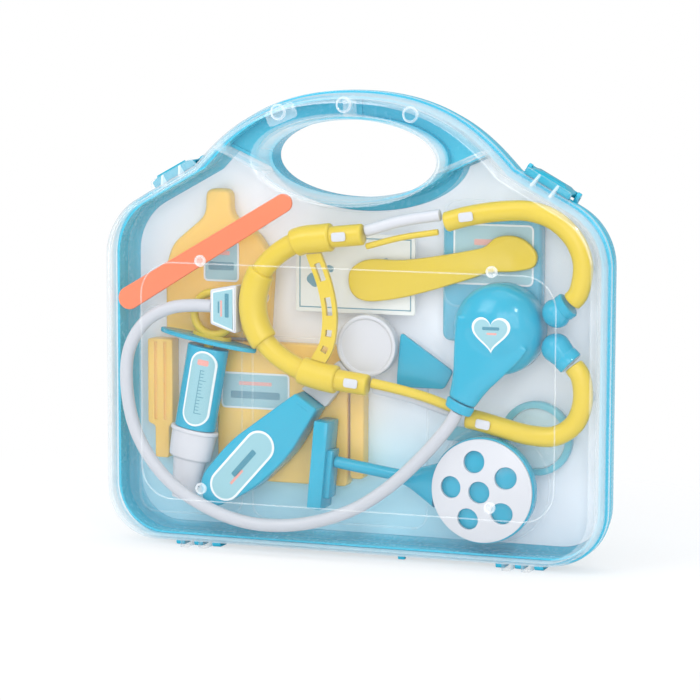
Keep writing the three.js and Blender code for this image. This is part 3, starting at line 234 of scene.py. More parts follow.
FINISH = {
    # Polystyrene and acrylic, pressed clear: sharp lamp mirrors, white where thick or frosted, and a painted
    # highlight
    "lid": clear_sheet("clear_polystyrene_lid", "#F1F7FA", 0.014, 0.5, 0.012),
    # The edge finish is whiter thick plastic, and on the lid's rounded front edge a painted highlight
    "edge": clear_sheet("thick_polystyrene_edge_painted_highlight", "#F4F9FC", 0.1, 0.32, 0.05, 0.1),
    "frosted": clear_sheet("frosted_polystyrene_mark", "#F4F8FB", 0.3, 0.85, 0.05, 0.15),
    "tray": clear_sheet("clear_vacuum_formed_tray", "#F2F5FA", 0.05, 0.5, 0.02, 0.12, 0.8, 0.2),
    "lens": clear_sheet("clear_acrylic_lens", "#BDE4EF", 0.4, 0.6, 0.02),
    # Polypropylene, moulded: an even colour with a broad, slightly waxy gloss
    "base": moulded("cyan_polypropylene_shell", "#30B2CF", 0.26, tone=0.04),
    "latch": moulded("deep_cyan_polypropylene_latch", "#0A9FBA", 0.22),
    "orange": moulded("salmon_orange_polypropylene", "#E37348", 0.42, tone=0.05),
    # ABS, moulded: a full colour with tighter highlights
    "tool": moulded("sky_blue_abs", "#089DBC", 0.15, tone=0.05),
    "yellow": moulded("lemon_yellow_abs", "#D0B628", 0.3, tone=0.04),
    "tan": moulded("amber_yellow_abs", "#EFBE36", 0.4, tone=0.05),
    "white": moulded("white_abs", "#C5C7CD", 0.32, tone=0.02),
    "teal": moulded("teal_abs", "#43AFC2", 0.35),
    # Soft vinyl, extruded: a dull, even sheen
    "tube": moulded("white_soft_vinyl_tube", "#B7BAC1", 0.4, tone=0.02, ior=1.53),
    # Coated card, paper and ink: matt, with a fine fibre
    "card": sheet_card(),
    "print": moulded("grey_printed_card", "#DCDED9", 0.55, grain=1.0, tone=0.03),
    "border": moulded("white_paper_border", "#DCE3E6", 0.5, grain=1.0, tone=0.02),
    "label": moulded("pale_teal_printed_paper", "#8AB8C2", 0.5, grain=1.0, tone=0.05),
    "ink": moulded("dark_teal_ink", "#3B8296", 0.5, grain=1.0, tone=0.05),
    "coral": moulded("coral_ink", "#D99A92", 0.5, grain=1.0, tone=0.05),
}


# Modelling
def activate(piece):
    bpy.ops.object.select_all(action="DESELECT")
    piece.select_set(True)
    bpy.context.view_layer.objects.active = piece


def apply_modifiers(piece):
    activate(piece)
    for modifier in list(piece.modifiers):
        bpy.ops.object.modifier_apply(modifier=modifier.name)


def shade(piece, angle=40):
    activate(piece)
    bpy.ops.object.shade_smooth_by_angle(angle=math.radians(angle))
    return piece


def soften(piece, width, segments=3, angle=35):
    """Rounds the sharp edges of a piece and shades it smooth."""
    bevel = piece.modifiers.new("edge", "BEVEL")
    bevel.width = width * MM
    bevel.segments = segments
    bevel.limit_method = "ANGLE"
    bevel.angle_limit = math.radians(angle)
    apply_modifiers(piece)
    return shade(piece)


def face_out(piece):
    activate(piece)
    bpy.ops.object.mode_set(mode="EDIT")
    bpy.ops.mesh.select_all(action="SELECT")
    bpy.ops.mesh.remove_doubles(threshold=0.001 * MM)
    bpy.ops.mesh.normals_make_consistent(inside=False)
    bpy.ops.object.mode_set(mode="OBJECT")
    return piece


def new_object(name, data):
    piece = bpy.data.objects.new(name, data)
    bpy.context.collection.objects.link(piece)
    return piece


def skin_of(name, points, faces):
    mesh = bpy.data.meshes.new(name)
    mesh.from_pydata(points, [], faces)
    return face_out(new_object(name, mesh))


def slab(name, outline, front, back):
    """A flat piece: a filled ring laid on the outline, extruded from front to back."""
    bpy.ops.mesh.primitive_circle_add(vertices=len(outline), fill_type="NGON")
    piece = bpy.context.object
    piece.name = name
    for vertex, (x, z) in zip(piece.data.vertices, outline):
        vertex.co = row(x, front, z)
    bpy.ops.object.mode_set(mode="EDIT")
    bpy.ops.mesh.select_all(action="SELECT")
    bpy.ops.mesh.extrude_region_move(TRANSFORM_OT_translate={"value": (0, (back - front) * MM, 0)})
    bpy.ops.object.mode_set(mode="OBJECT")
    return face_out(piece)


def loft(name, rings):
    """A closed skin over rings of points, with a flat cap at each end."""
    count = len(rings[0])
    last = (len(rings) - 1) * count
    faces = [list(range(count)), [last + i for i in reversed(range(count))]]
    for level in range(0, last, count):
        for i in range(count):
            a, b = level + i, level + (i + 1) % count
            faces.append([a, a + count, b + count, b])
    return skin_of(name, [point for ring in rings for point in ring], faces)


def circle(steps):
    """Cosine and sine at even steps round a circle."""
    angles = [2 * math.pi * i / steps for i in range(steps)]
    return [(math.cos(angle), math.sin(angle)) for angle in angles]


def quarter(steps):
    """Rise and fall along a quarter of a circle of radius 1: its sine, and 1 less its cosine."""
    angles = [math.pi / 2 * i / steps for i in range(steps + 1)]
    return [(math.sin(angle), 1 - math.cos(angle)) for angle in angles]


def turned(name, profile, centre, axis=OUT, steps=56, flat=1.0):
    """A turned piece: a profile of radius and height, spun round an axis and flattened in depth."""
    up = axis.normalized()
    side = up.orthogonal().normalized()
    other = up.cross(side)
    rings = []
    for radius, height in profile:
        ring = []
        for c, s in circle(steps):
            reach = (side * c + other * s) * max(radius, 0.001) * MM
            reach -= BACK * reach.y * (1 - flat)
            ring.append(centre + up * height * MM + reach)
        rings.append(ring)
    return loft(name, rings)


def cylinder(radius, low, high):
    """The profile of a plain cylinder."""
    return [(0, low), (radius, low), (radius, high), (0, high)]


def oval_bar(name, stations):
    """An oval bar whose width and depth change along it: stations are centre, half width, half depth."""
    heading = (stations[-1][0] - stations[0][0]).normalized()
    across = BACK.cross(heading).normalized()
    return loft(name, [
        [centre + across * width * MM * c + BACK * depth * MM * s for c, s in circle(32)]
        for centre, width, depth in stations
    ])


def eased_corner(before, corner, after, radius, steps):
    """Points along a corner that is rounded off."""
    back, forth = before - corner, after - corner
    reach = min(radius, back.length / 2.2, forth.length / 2.2)
    start, end = corner + back.normalized() * reach, corner + forth.normalized() * reach
    shares = [i / steps for i in range(steps + 1)]
    return [tuple(start.lerp(corner, t).lerp(corner.lerp(end, t), t)) for t in shares]


def rounded_profile(profile, radius, steps=3):
    """A profile whose inner corners are rounded off."""
    points = [Vector(p) for p in profile]
    result = [tuple(points[0])]
    for before, corner, after in zip(points, points[1:], points[2:]):
        result += eased_corner(before, corner, after, radius, steps)
    return result + [tuple(points[-1])]


def rounded_outline(points, radius, steps=4):
    """A closed outline with its corners rounded, by one radius or by one for each corner."""
    corners = [Vector(p) for p in points]
    radii = radius if isinstance(radius, list) else [radius] * len(corners)
    result = []
    for i, own in enumerate(radii):
        result += eased_corner(corners[i - 1], corners[i], corners[(i + 1) % len(corners)], own, steps)
    return result


def rounded_shares(shares, corner):
    return rounded_outline([at(share) for share in shares], corner)


def smooth_path(points, steps=10):
    """Points along a centripetal Catmull-Rom curve."""
    chain = [points[0] * 2 - points[1], *points, points[-1] * 2 - points[-2]]
    path = []
    for p0, p1, p2, p3 in zip(chain, chain[1:], chain[2:], chain[3:]):
        d0, d1, d2 = (math.sqrt((b - a).length) for a, b in ((p0, p1), (p1, p2), (p2, p3)))
        m1 = ((p1 - p0) / d0 - (p2 - p0) / (d0 + d1) + (p2 - p1) / d1) * d1
        m2 = ((p2 - p1) / d1 - (p3 - p1) / (d1 + d2) + (p3 - p2) / d2) * d1
        for t in (i / steps for i in range(steps)):
            path.append(
                p1 * (2 * t**3 - 3 * t**2 + 1) + m1 * (t**3 - 2 * t**2 + t)
                + p2 * (3 * t**2 - 2 * t**3) + m2 * (t**3 - t**2)
            )
    return path + [points[-1]]


def smooth_loop(shares, steps=5):
    """A closed outline through the given places, curved all round."""
    points = [Vector((*at(share), 0)) for share in shares]
    path = smooth_path(points[-2:] + points + points[:2], steps)
    return [(p.x, p.y) for p in path[2 * steps:(2 + len(points)) * steps]]


def evenly(path, count, start=0.0, end=1.0):
    """Even points on a path between two shares of its length."""
    lengths = [0.0]
    for a, b in zip(path, path[1:]):
        lengths.append(lengths[-1] + (b - a).length)
    result = []
    for i in range(count):
        goal = lengths[-1] * (start + (end - start) * i / (count - 1))
        j = next((k for k in range(1, len(lengths)) if lengths[k] >= goal - 1e-12), len(lengths) - 1)
        t = (goal - lengths[j - 1]) / (lengths[j] - lengths[j - 1])
        result.append(path[j - 1].lerp(path[j], t))
    return result


def course(shares, depth, count, *ends):
    """Even points on a smooth curve through the given places, or between two shares of its length."""
    return evenly(smooth_path(spread(shares, depth)), count, *ends)


def swept(name, stations, sides):
    """A round bar through places with their radii, made from a curve with a thickness."""
    curve = bpy.data.curves.new(name, "CURVE")
    curve.dimensions = "3D"
    curve.bevel_depth = MM
    curve.bevel_resolution = sides
    curve.use_fill_caps = True
    spline = curve.splines.new("POLY")
    spline.points.add(len(stations) - 1)
    for point, (place, radius) in zip(spline.points, stations):
        point.co = (*place, 1)
        point.radius = radius
    return new_object(name, curve)


def bar(name, path, radius, edge, sides=6):
    """A round bar along a path, with both ends rounded over."""
    first, last = path[0], path[-1]
    head, tail = (path[1] - first).normalized(), (path[-2] - last).normalized()
    steps = [(0, 1), (0.12, 0.55), (0.4, 0.2), (1, 0)]
    near = edge * MM * 1.1
    stations = [(first + head * along * edge * MM, radius - less * edge) for along, less in steps]
    stations += [(p, radius) for p in path if min((p - first).length, (p - last).length) > near]
    stations += [(last + tail * along * edge * MM, radius - less * edge) for along, less in reversed(steps)]
    activate(swept(name, stations, sides))
    bpy.ops.object.convert(target="MESH")
    return shade(face_out(bpy.context.object), 50)


def axle(name, left, right, depth, height, radius, edge):
    """A short round bar from left to right."""
    path = [row(x, depth, height) for x in (left, (left + right) / 2, right)]
    return bar(name, path, radius, edge)


def combine(piece, other, how="DIFFERENCE"):
    """Cuts the other solid from the piece, welds it on or keeps what both share, and deletes it."""
    boolean = piece.modifiers.new(how, "BOOLEAN")
    boolean.operation = how
    boolean.solver = "EXACT"
    boolean.object = other
    apply_modifiers(piece)
    bpy.data.objects.remove(other)
    return piece


def join(name, pieces):
    activate(pieces[0])
    for piece in pieces:
        piece.select_set(True)
    bpy.ops.object.join()
    whole = bpy.context.object
    whole.name = name
    return whole


def paint(piece, finish):
    piece.data.materials.clear()
    piece.data.materials.append(FINISH[finish])
    return piece


def patch(outer, inner, slug, angle, finish):
    """What lies between two skins and inside a slug, such as a label on a round piece."""
    return paint(shade(combine(combine(outer, inner), slug, "INTERSECT"), angle), finish)


def settle(piece, finish, node, body="case"):
    """Gives a finished piece its material and body, and hides the solid that it stands for."""
    if finish:
        paint(piece, finish)
    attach(piece, body)
    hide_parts(node)
    return piece


def lamps_pass(piece):
    """Thin clear plastic hardly shades what lies behind it, so shadow and diffuse rays skip it."""
    piece.visible_shadow = False
    piece.visible_diffuse = False


def placed(piece, x, y, z, turn):
    """Turns a piece drawn at the foot of the seam about its depth axis, and moves it to its place."""
    home = Matrix.Translation(-row(0, 0, 0))
    piece.data.transform(Matrix.Translation(row(x, y, z)) @ Matrix.Rotation(turn, 4, "Y") @ home)
    return piece


# Outlines and flat pieces
def box(left, bottom, right, top):
    return [(left, bottom), (right, bottom), (right, top), (left, top)]


def both_sides(right):
    """An outline from its right half."""
    return right + [(-x, z) for x, z in reversed(right)]


def pill(start, end, start_half, end_half=None):
    """An outline with two round ends."""
    heading = math.atan2(end[1] - start[1], end[0] - start[0])
    points = []
    for centre, side, half in ((end, -1, end_half or start_half), (start, 1, start_half)):
        for i in range(15):
            angle = heading + side * math.pi / 2 + math.pi * i / 14
            points.append((centre[0] + half * math.cos(angle), centre[1] + half * math.sin(angle)))
    return points


def rounded_box(low, high, corner, steps=5):
    (left, bottom), (right, top) = low, high
    corners = [(right, bottom, -1, 1), (right, top, -1, -1), (left, top, 1, -1), (left, bottom, 1, 1)]
    points = []
    for number, (x, z, dx, dz) in enumerate(corners, -1):
        for i in range(steps + 1):
            angle = (number + i / steps) * math.pi / 2
            points.append((
                x + dx * corner + corner * math.cos(angle),
                z + dz * corner + corner * math.sin(angle),
            ))
    return points


def middle_of(low, high):
    """Middle and half size of a box."""
    return (low[0] + high[0]) / 2, (low[1] + high[1]) / 2, (high[0] - low[0]) / 2, (high[1] - low[1]) / 2


def tilted_slab(name, place, half, front, back, slope, corner):
    """A flat box with rounded corners, turned about its middle."""
    x, z = place
    c, s = math.cos(slope), math.sin(slope)
    points = rounded_box((-half[0], -half[1]), half, corner)
    return slab(name, [(x + px * c - pz * s, z + px * s + pz * c) for px, pz in points], front, back)


def box_piece(name, low, high, round_edge=0.3):
    """A block between two corners in case millimetres, with softened edges."""
    return soften(slab(name, box(low[0], low[2], high[0], high[2]), low[1], high[1]), round_edge, 2)


# The two shells
def half_outline():
    """Half of the outline, from its bottom corner to the middle of the handle, and the shoulder's middle."""
    corners = [
        (BOTTOM_CORNER, BOTTOM_CORNER, -math.pi / 2, math.pi / 2),
        (TOP_CORNER, TOP_CORNER_HEIGHT, 0, math.pi / 2 - SHOULDER_ANGLE),
    ]
    points = []
    for radius, height, start, sweep in corners:
        for i in range(CORNER_STEPS + 1):
            angle = start + i / CORNER_STEPS * sweep
            points.append((HALF_WIDTH - radius + radius * math.cos(angle), height + radius * math.sin(angle)))
    start = Vector(points[-1])
    end = start + Vector((-math.cos(SHOULDER_ANGLE), math.sin(SHOULDER_ANGLE))) * SHOULDER_LENGTH
    a, b, c, d = (Vector(p) for p in (end, *map(at, HANDLE_SHARES)))
    for i in range(HANDLE_STEPS + 1):
        t = i / HANDLE_STEPS
        points.append(tuple(a * (1 - t)**3 + b * 3 * t * (1 - t)**2 + c * 3 * t**2 * (1 - t) + d * t**3))
    return points, (start + end) / 2


HALF, SHOULDER = half_outline()


def case_outline(inset):
    whole = [Vector(p) for p in HALF + [(-x, z) for x, z in reversed(HALF[:-1])]]
    result = []
    for i, point in enumerate(whole):
        before = (point - whole[i - 1]).normalized()
        after = (whole[(i + 1) % len(whole)] - point).normalized()
        normal = Vector((-before.y - after.y, before.x + after.x))
        result.append(tuple(point + normal * inset / (1 + before.dot(after))))
    return result


def case_loft(name, levels):
    """A solid in the case's outline: levels are depth and inset."""
    return loft(name, [[row(x, y, z) for x, z in case_outline(inset)] for y, inset in levels])


def grip_loft(name, levels):
    """A solid in the finger hole's oval: levels are depth and growth."""
    rings = []
    for y, growth in levels:
        wide, tall = GRIP_HALF_WIDTH + growth, GRIP_HALF_HEIGHT + growth
        rings.append([row(wide * c, y, GRIP_HEIGHT + tall * s) for c, s in circle(GRIP_STEPS)])
    return loft(name, rings)


def grip_sleeve(side, depth, growth):
    """The finger hole through one half, flared towards its face."""
    flare = [
        (side * (depth - EDGE_ROUND * (1 - s)), growth + 1 + (GRIP_FLARE - 1) * g)
        for s, g in quarter(EDGE_STEPS)
    ]
    return grip_loft("grip_cut", [(-side * 2, growth), *flare, (side * (depth + 1), growth + GRIP_FLARE)])


def hollow_levels(side, depth, wall, grown=0.0):
    """Levels of the room inside a shell."""
    draft, inner_round = RIM_STEP + DRAFT, EDGE_ROUND - wall
    levels = [(-side, RIM_STEP + wall - grown), (side * RIM_WIDTH, RIM_STEP + wall - grown)]
    return levels + [
        (side * (depth - wall + grown - inner_round * (1 - s)), draft + wall - grown + inner_round * g)
        for s, g in quarter(5)
    ]


def shell(name, side, depth, wall):
    """One half of the case: a lofted tray with a stepped rim, a draft and a rounded edge round its face."""
    seam, near, ease = CLEARANCE / 2, RIM_ROUND * 0.3, RIM_ROUND
    outer = [
        (seam, ease), (seam + near, near), (seam + ease, 0), (RIM_WIDTH - ease, 0), (RIM_WIDTH - near, near),
        (RIM_WIDTH, ease), (RIM_WIDTH, RIM_STEP), (RIM_WIDTH + 0.5, RIM_STEP + 0.15),
    ]
    outer += [
        (depth - EDGE_ROUND * (1 - s), RIM_STEP + DRAFT + EDGE_ROUND * g) for s, g in quarter(EDGE_STEPS)
    ]
    hollow = case_loft("hollow", hollow_levels(side, depth, wall))
    combine(hollow, grip_sleeve(side, depth, wall))
    body = combine(case_loft(name, [(side * y, inset) for y, inset in outer]), hollow)
    return shade(combine(body, grip_sleeve(side, depth, 0)), 28)


def inner_lip():
    """The base's locating lip, a thin band that stands just inside the lid's wall."""
    lip = case_loft("lip", [(0.9, 3.1), (-5.4, 3.1), (-5.9, 3.4)])
    return shade(combine(lip, case_loft("lip_room", [(2, 4.3), (-7, 4.3)])), 28)


def knuckles(side, own):
    """Every other knuckle of the two hinges, each a short barrel under a flat foot."""
    pitch, half, radius, count = 5.1, 2.3, 1.5, 5
    front, back = sorted((side * CLEARANCE, side * 8))
    pieces = []
    for sideways in (-1, 1):
        for index in range(own, count, 2):
            middle = sideways * 0.655 * HALF_WIDTH + (index - (count - 1) / 2) * pitch
            left, right = middle - half, middle + half
            pieces += [
                box_piece("foot", (left, front, -HINGE_DROP), (right, back, 0.8), 0.25),
                axle("barrel", left, right, 0, radius - HINGE_DROP, radius, 0.25),
            ]
    return pieces


def fit_handle(piece, side, depth, wall):
    """Trims a piece to the room inside the handle, and sinks it a little into the walls."""
    combine(piece, case_loft("trim", hollow_levels(side, depth, wall, SINK)), "INTERSECT")
    return combine(piece, grip_sleeve(side, depth, wall - SINK))


def handle_ribs(side, depth, wall):
    """Three flat ribs across the hollow handle, trimmed to the room that they stand in."""
    front, back = sorted((side * RIM_WIDTH, side * (depth - SINK)))
    half = 0.8
    low, high = (Vector(at(share)) for share in SLANTED_RIB)
    heading = (high - low).normalized()
    across = Vector((-heading.y, heading.x)) * half
    slanted = [low - across, high - across, high + across, low + across]
    outlines = [box(-half, GRIP_HEIGHT, half, HEIGHT)]
    outlines += [[(sideways * c.x, c.y) for c in slanted] for sideways in (-1, 1)]
    ribs = [slab("rib", outline, front, back) for outline in outlines]
    return [shade(fit_handle(rib, side, depth, wall)) for rib in ribs]


def on_shoulder(piece, sideways):
    """Turns and moves a piece drawn at the middle of the seam to a shoulder."""
    return placed(piece, sideways * SHOULDER[0], 0, SHOULDER[1], sideways * SHOULDER_ANGLE)


def keeper(sideways):
    """The clear tapered plate in front of a latch, with two gussets."""
    back, foot, wide, rise = -2.2, -1.95, 15.2, 4.2
    taper = [(-wide, foot), (wide, foot), (wide - 2.5, rise), (2.5 - wide, rise)]
    pieces = [soften(slab("keeper", taper, back - 1.8, back), 0.45)]
    for end in (-1, 1):
        middle = end * 0.42 * LATCH_HALF_LENGTH
        gusset = slab("gusset", box(middle - 0.7, foot, middle + 0.7, rise), back - 8, back - 0.9)
        for vertex in gusset.data.vertices:
            if vertex.co.y < row(0, back - 4, 0).y and vertex.co.z > row(0, 0, 1).z:
                vertex.co.z = row(0, 0, foot + 0.4).z
        pieces.append(soften(gusset, 0.2, 2))
    return [on_shoulder(piece, sideways) for piece in pieces]


def panel_line():
    """The raised line round the front panel."""
    right, bottom, top = 0.828 * HALF_WIDTH, 0.103 * HEIGHT, 0.62 * HEIGHT
    line = [row(x, -LID_DEPTH - 0.05, z) for x, z in rounded_box((-right, bottom), (right, top), 17, 10)]
    return bar("panel_line", line + line[:2], 0.38, 0.1, 4)


def boss(x, z):
    """A low boss on the lid's face: a frosted ring round a clear middle."""
    wide = 4.1 if z > 0.9 * HEIGHT else 3
    ring = [(wide - 1.3, 0.35), (wide - 1, BOSS_RISE), (wide, BOSS_RISE)]
    profile = [(0, 0.35), *ring, (wide, -0.6), (0, -0.6)]
    piece = shade(turned("boss", rounded_profile(profile, 0.25), row(x, -LID_DEPTH, z), OUT, 32))
    paint(piece, "frosted").data.materials.append(FINISH["lid"])
    middle = row(x, 0, z)
    for face in piece.data.polygons:
        if math.hypot(face.center.x - middle.x, face.center.z - middle.z) < (wide - 1.2) * MM:
            face.material_index = 1
    return piece


BOSSES = [
    (-0.581, 0.626), (0.581, 0.626), (-0.581, 0.13), (0.581, 0.13),
    (-0.262, 0.948), (0, 0.966), (0.262, 0.948),
]


def make_lid():
    body = shell("lid_shell", *LID_HALF)
    (right_plate, *right_gussets), (left_plate, *left_gussets) = keeper(1), keeper(-1)
    ribs = handle_ribs(*LID_HALF)
    clear = [body, *knuckles(-1, 1), right_plate]
    line = panel_line()
    place, front = at((-0.25, 0.943)), -LID_DEPTH - 0.3
    plate = tilted_slab("boss_plate", place, (8.4, 4), front, front + 0.7, math.radians(22), 2)
    soften(plate, 0.25, 2)
    painted = {
        "lid": clear,
        "edge": [*ribs, left_plate, line, plate],
        "frosted": right_gussets + left_gussets,
    }
    for finish, pieces in painted.items():
        for piece in pieces:
            paint(piece, finish)
    # A painted highlight: the faces of the lid's rounded front edge and of the finger hole's flare take the
    # whiter edge finish, partly thick plastic
    body.data.materials.append(FINISH["edge"])
    start = row(0, EDGE_ROUND + 0.4 - LID_DEPTH, 0).y
    for face in body.data.polygons:
        if face.center.y < start and 0.2 < abs(face.normal.y) < 0.97:
            face.material_index = 1
    pieces = sum(painted.values(), []) + [boss(x, z) for x, z in map(at, BOSSES)]
    lamps_pass(settle(join("lid_shell", pieces), None, "clear_lid", "lid"))


def latch_lugs(sideways):
    """The two lugs that carry a latch's pivot."""
    pieces = []
    for end in (-1, 1):
        left, right = sorted((end * (LATCH_HALF_LENGTH + 0.3), end * (LATCH_HALF_LENGTH + 2.5)))
        pieces += [
            box_piece("lug", (left, 6.8, -2), (right, 11.2, PIVOT_HEIGHT)),
            axle("eye", left, right, PIVOT_DEPTH, PIVOT_HEIGHT, 2.2, 0.3),
        ]
    return [on_shoulder(piece, sideways) for piece in pieces]


def handle_floor():
    """The floor of the base's shallow handle channel, between the slanted ribs."""
    low, high = map(at, SLANTED_RIB)
    outline = both_sides([low, high, (high[0], 1.02 * HEIGHT)])
    floor = slab("handle_floor", outline, RIM_WIDTH + 0.8, RIM_WIDTH + 2.4)
    return shade(fit_handle(floor, *BASE_HALF), 28)


def make_base():
    body = shell("base_body", *BASE_HALF)
    middle = 0.181 * HALF_WIDTH
    stop = box_piece("stop", (middle - 1.8, 0.3, -3.1), (middle + 1.8, 3, 0.8))
    ribs = handle_ribs(*BASE_HALF)
    pieces = [body, handle_floor(), inner_lip(), stop, *ribs]
    pieces += [*latch_lugs(1), *latch_lugs(-1), *knuckles(1, 0)]
    settle(join("base_body", pieces), "base", "base_shell")


def make_latches():
    """Each latch is a plate on a pivot barrel with tapered ends, a hooked block and a low thumb ridge."""
    length, top, front = LATCH_HALF_LENGTH, 4.6, -1.9
    taper = [(-length, 2.6), (length, 2.6), (length, 3.4)]
    taper += [(length - 4, top), (4 - length, top), (-length, 3.4)]
    for name, sideways in (("latch_right", 1), ("latch_left", -1)):
        pieces = [
            soften(slab("plate", taper, front, PIVOT_DEPTH), 0.5, 4),
            box_piece("block", (-length, front, CLEARANCE), (length, 1.3, 3.4), 0.5),
            box_piece("lip", (4 - length, front, top - 0.5), (length - 4, -1.2, top + 0.7), 0.25),
            axle("ridge", -7, 7, 3.4, top - 0.1, 0.7, 0.3),
            axle("pivot", -length, length, PIVOT_DEPTH, PIVOT_HEIGHT, 1.8, 0.3),
        ]
        pieces = [on_shoulder(piece, sideways) for piece in pieces]
        settle(join(name + "_grip", pieces), "latch", name, name)


# The flat tools
def make_tongue_depressor():
    edge = pill(at((-0.914, 0.534)), at((-0.272, 0.752)), 6, 4.8)
    settle(soften(slab("tongue_stick", edge, -11, -9), 0.7, 4), "orange", "tongue_depressor")


def make_spatula():
    shares = [
        (-0.04, 0.605), (-0.036, 0.563), (0.009, 0.544), (0.142, 0.549), (0.44, 0.598), (0.515, 0.613),
        (0.62, 0.618), (0.69, 0.63), (0.7, 0.655), (0.66, 0.682), (0.606, 0.693), (0.54, 0.688),
        (0.496, 0.668), (0.446, 0.66), (0.181, 0.634), (0.02, 0.63),
    ]
    piece = soften(slab("spoon_spatula", smooth_loop(shares), REST - 3.3, REST), 1.0, 4)
    x, z = at((0.62, 0.654))
    bowl = turned("bowl", [(0, 0), (6, 0.3), (8.6, 1.4), (9.2, 3), (0, 3)], row(x, REST - 2.3, z))
    settle(shade(combine(piece, bowl), 50), "yellow", "spatula")


def make_wedge():
    shares = [(0.166, 0.478), (0.375, 0.399), (0.34, 0.36), (0.152, 0.36), (0.152, 0.385)]
    settle(soften(slab("blade", rounded_shares(shares, 2), REST - 2.6, REST), 0.5), "tool", "blue_wedge")


# The headset
CHEST = (0.572, 0.498)
CHEST_NECK = (0.454, 0.347)
CHEST_END = (0.438, 0.327)
CHEST_MIDDLE = -14.3
CHEST_RADIUS = 23.2
CHEST_SIDE = 10
CHEST_FRONT = -18.7
CHEST_DOME = REST - CHEST_SIDE - CHEST_FRONT
YOKE_DEPTH = -8
YOKE_RADIUS = 5.5
ARM_DEPTH = -6
ARM_RADIUS = 5.1
YOKE_SHARES = [
    (0.045, 0.69), (-0.121, 0.679), (-0.21, 0.671), (-0.308, 0.639), (-0.374, 0.595), (-0.403, 0.54),
    (-0.39, 0.486), (-0.341, 0.442), (-0.243, 0.403), (-0.128, 0.382), (0.067, 0.367),
]


def make_yoke():
    pieces = [bar("yoke", course(YOKE_SHARES, YOKE_DEPTH, 90), YOKE_RADIUS, 1.2, 9)]
    for ends in ((0.105, 0.235), (0.38, 0.62), (0.77, 0.895)):
        pieces.append(bar("collar", course(YOKE_SHARES, YOKE_DEPTH, 30, *ends), 7.3, 1.3, 9))
    settle(join("yoke_bow", pieces), "yellow", "headset_yoke")


def make_strap():
    """The perforated strap across the yoke: a ribbon of faces without those of its slots, given a thickness
    and cut off round the yoke's collars."""
    shares = [
        (-0.175, 0.676), (-0.149, 0.638), (-0.109, 0.579), (-0.088, 0.515),
        (-0.1, 0.45), (-0.128, 0.42), (-0.159, 0.388),
    ]
    count = 101
    points = course(shares, YOKE_DEPTH, count)
    slots = [(0.18, 0.31), (0.43, 0.56), (0.66, 0.71), (0.78, 0.83)]
    columns = (-3.85, -1.7, 1.7, 3.85)
    vertices, faces = [], []
    for i, point in enumerate(points):
        heading = (points[min(i + 1, count - 1)] - points[max(i - 1, 0)]).normalized()
        across = Vector((-heading.z, 0, heading.x))
        vertices += [point + across * c * MM for c in columns]
    for i in range(count - 1):
        share = (i + 0.5) / (count - 1)
        pierced = any(low <= share <= high for low, high in slots)
        a = i * 4
        faces += [[a + j, a + j + 1, a + j + 5, a + j + 4] for j in ((0, 2) if pierced else (0, 1, 2))]
    piece = skin_of("yoke_strap", vertices, faces)
    wall = piece.modifiers.new("wall", "SOLIDIFY")
    wall.thickness = 2.6 * MM
    wall.offset = 0
    apply_modifiers(piece)
    room = bar("room", course(YOKE_SHARES, YOKE_DEPTH, 90), 7.6, 0.6, 9)
    settle(soften(combine(face_out(piece), room), 0.5), "yellow", "headset_strap")


def make_links():
    links = [
        ("upper_rod", [(0.052, 0.697), (0.188, 0.72), (0.347, 0.736)], -7, 3, "white", "upper_link_rod"),
        ("lower_rod", [(0.0715, 0.358), (0.222, 0.342), (0.38, 0.316)], -1, 3, "white", "lower_link_rod"),
        ("upper_strip", [(0.054, 0.664), (0.189, 0.685), (0.34, 0.7)], -7, 1.6, "yellow", "upper_link_strip"),
        (
            "lower_strip", [(0.078, 0.372), (0.189, 0.361), (0.299, 0.347), (0.43, 0.323)], -7, 2.6,
            "yellow", "lower_link_strip",
        ),
    ]
    for name, shares, depth, radius, finish, node in links:
        settle(bar(name, course(shares, depth, 24), radius, 0.5), finish, node)


def make_arms():
    upper = [
        (0.366, 0.721), (0.452, 0.735), (0.576, 0.747), (0.692, 0.749), (0.787, 0.732), (0.864, 0.692),
        (0.896, 0.647), (0.893, 0.605), (0.878, 0.578), (0.855, 0.563),
    ]
    lower = [
        (0.455, 0.307), (0.507, 0.302), (0.59, 0.291), (0.707, 0.278), (0.801, 0.28), (0.873, 0.308),
        (0.903, 0.355), (0.893, 0.408), (0.865, 0.43),
    ]
    for name, shares, node in (("upper_arm", upper, "ear_arm_upper"), ("lower_arm", lower, "ear_arm_lower")):
        settle(bar(name, course(shares, ARM_DEPTH, 90), ARM_RADIUS, 1.0, 9), "yellow", node)


def make_ear_tips():
    """Each tip is a short sleeve on the arm's end and a round bulb that stops short of the chestpiece."""
    tips = [
        ("upper_ear_tip", [(0.845, 0.558), (0.757, 0.52)], "ear_tip_upper"),
        ("lower_ear_tip", [(0.857, 0.4335), (0.775, 0.486)], "ear_tip_lower"),
    ]
    for name, shares, node in tips:
        chest, root, aim = spread([CHEST, *shares], ARM_DEPTH)
        end = chest + (aim - chest).normalized() * (CHEST_RADIUS + 2.1) * MM
        length = (end - root).length / MM
        bulb = 7.6
        profile = [(0, 0), (6.2, 0), (6.8, 0.6)]
        profile += [(6.8, length * 0.24), (6.4, length * 0.28), (6.6, length * 0.32)]
        profile += [(bulb * (1 - g), length - bulb + bulb * s) for s, g in quarter(10)]
        settle(shade(turned(name, profile, root, end - root)), "tool", node)


def make_tabs():
    yoke_front, arm_front = YOKE_DEPTH - YOKE_RADIUS, ARM_DEPTH - ARM_RADIUS
    tabs = [
        ((-0.039, 0.685), yoke_front, 0.1), ((0.011, 0.373), yoke_front, -0.1),
        ((0.457, 0.735), arm_front, 0.15), ((0.53, 0.299), arm_front, -0.15),
    ]
    for number, (share, front, slope) in enumerate(tabs, 1):
        tab = tilted_slab("tab_%d" % number, at(share), (3.75, 2.3), front - 1.1, front - 0.3, slope, 1.2)
        settle(soften(tab, 0.25, 2), "white", "snap_tab_%d" % number)


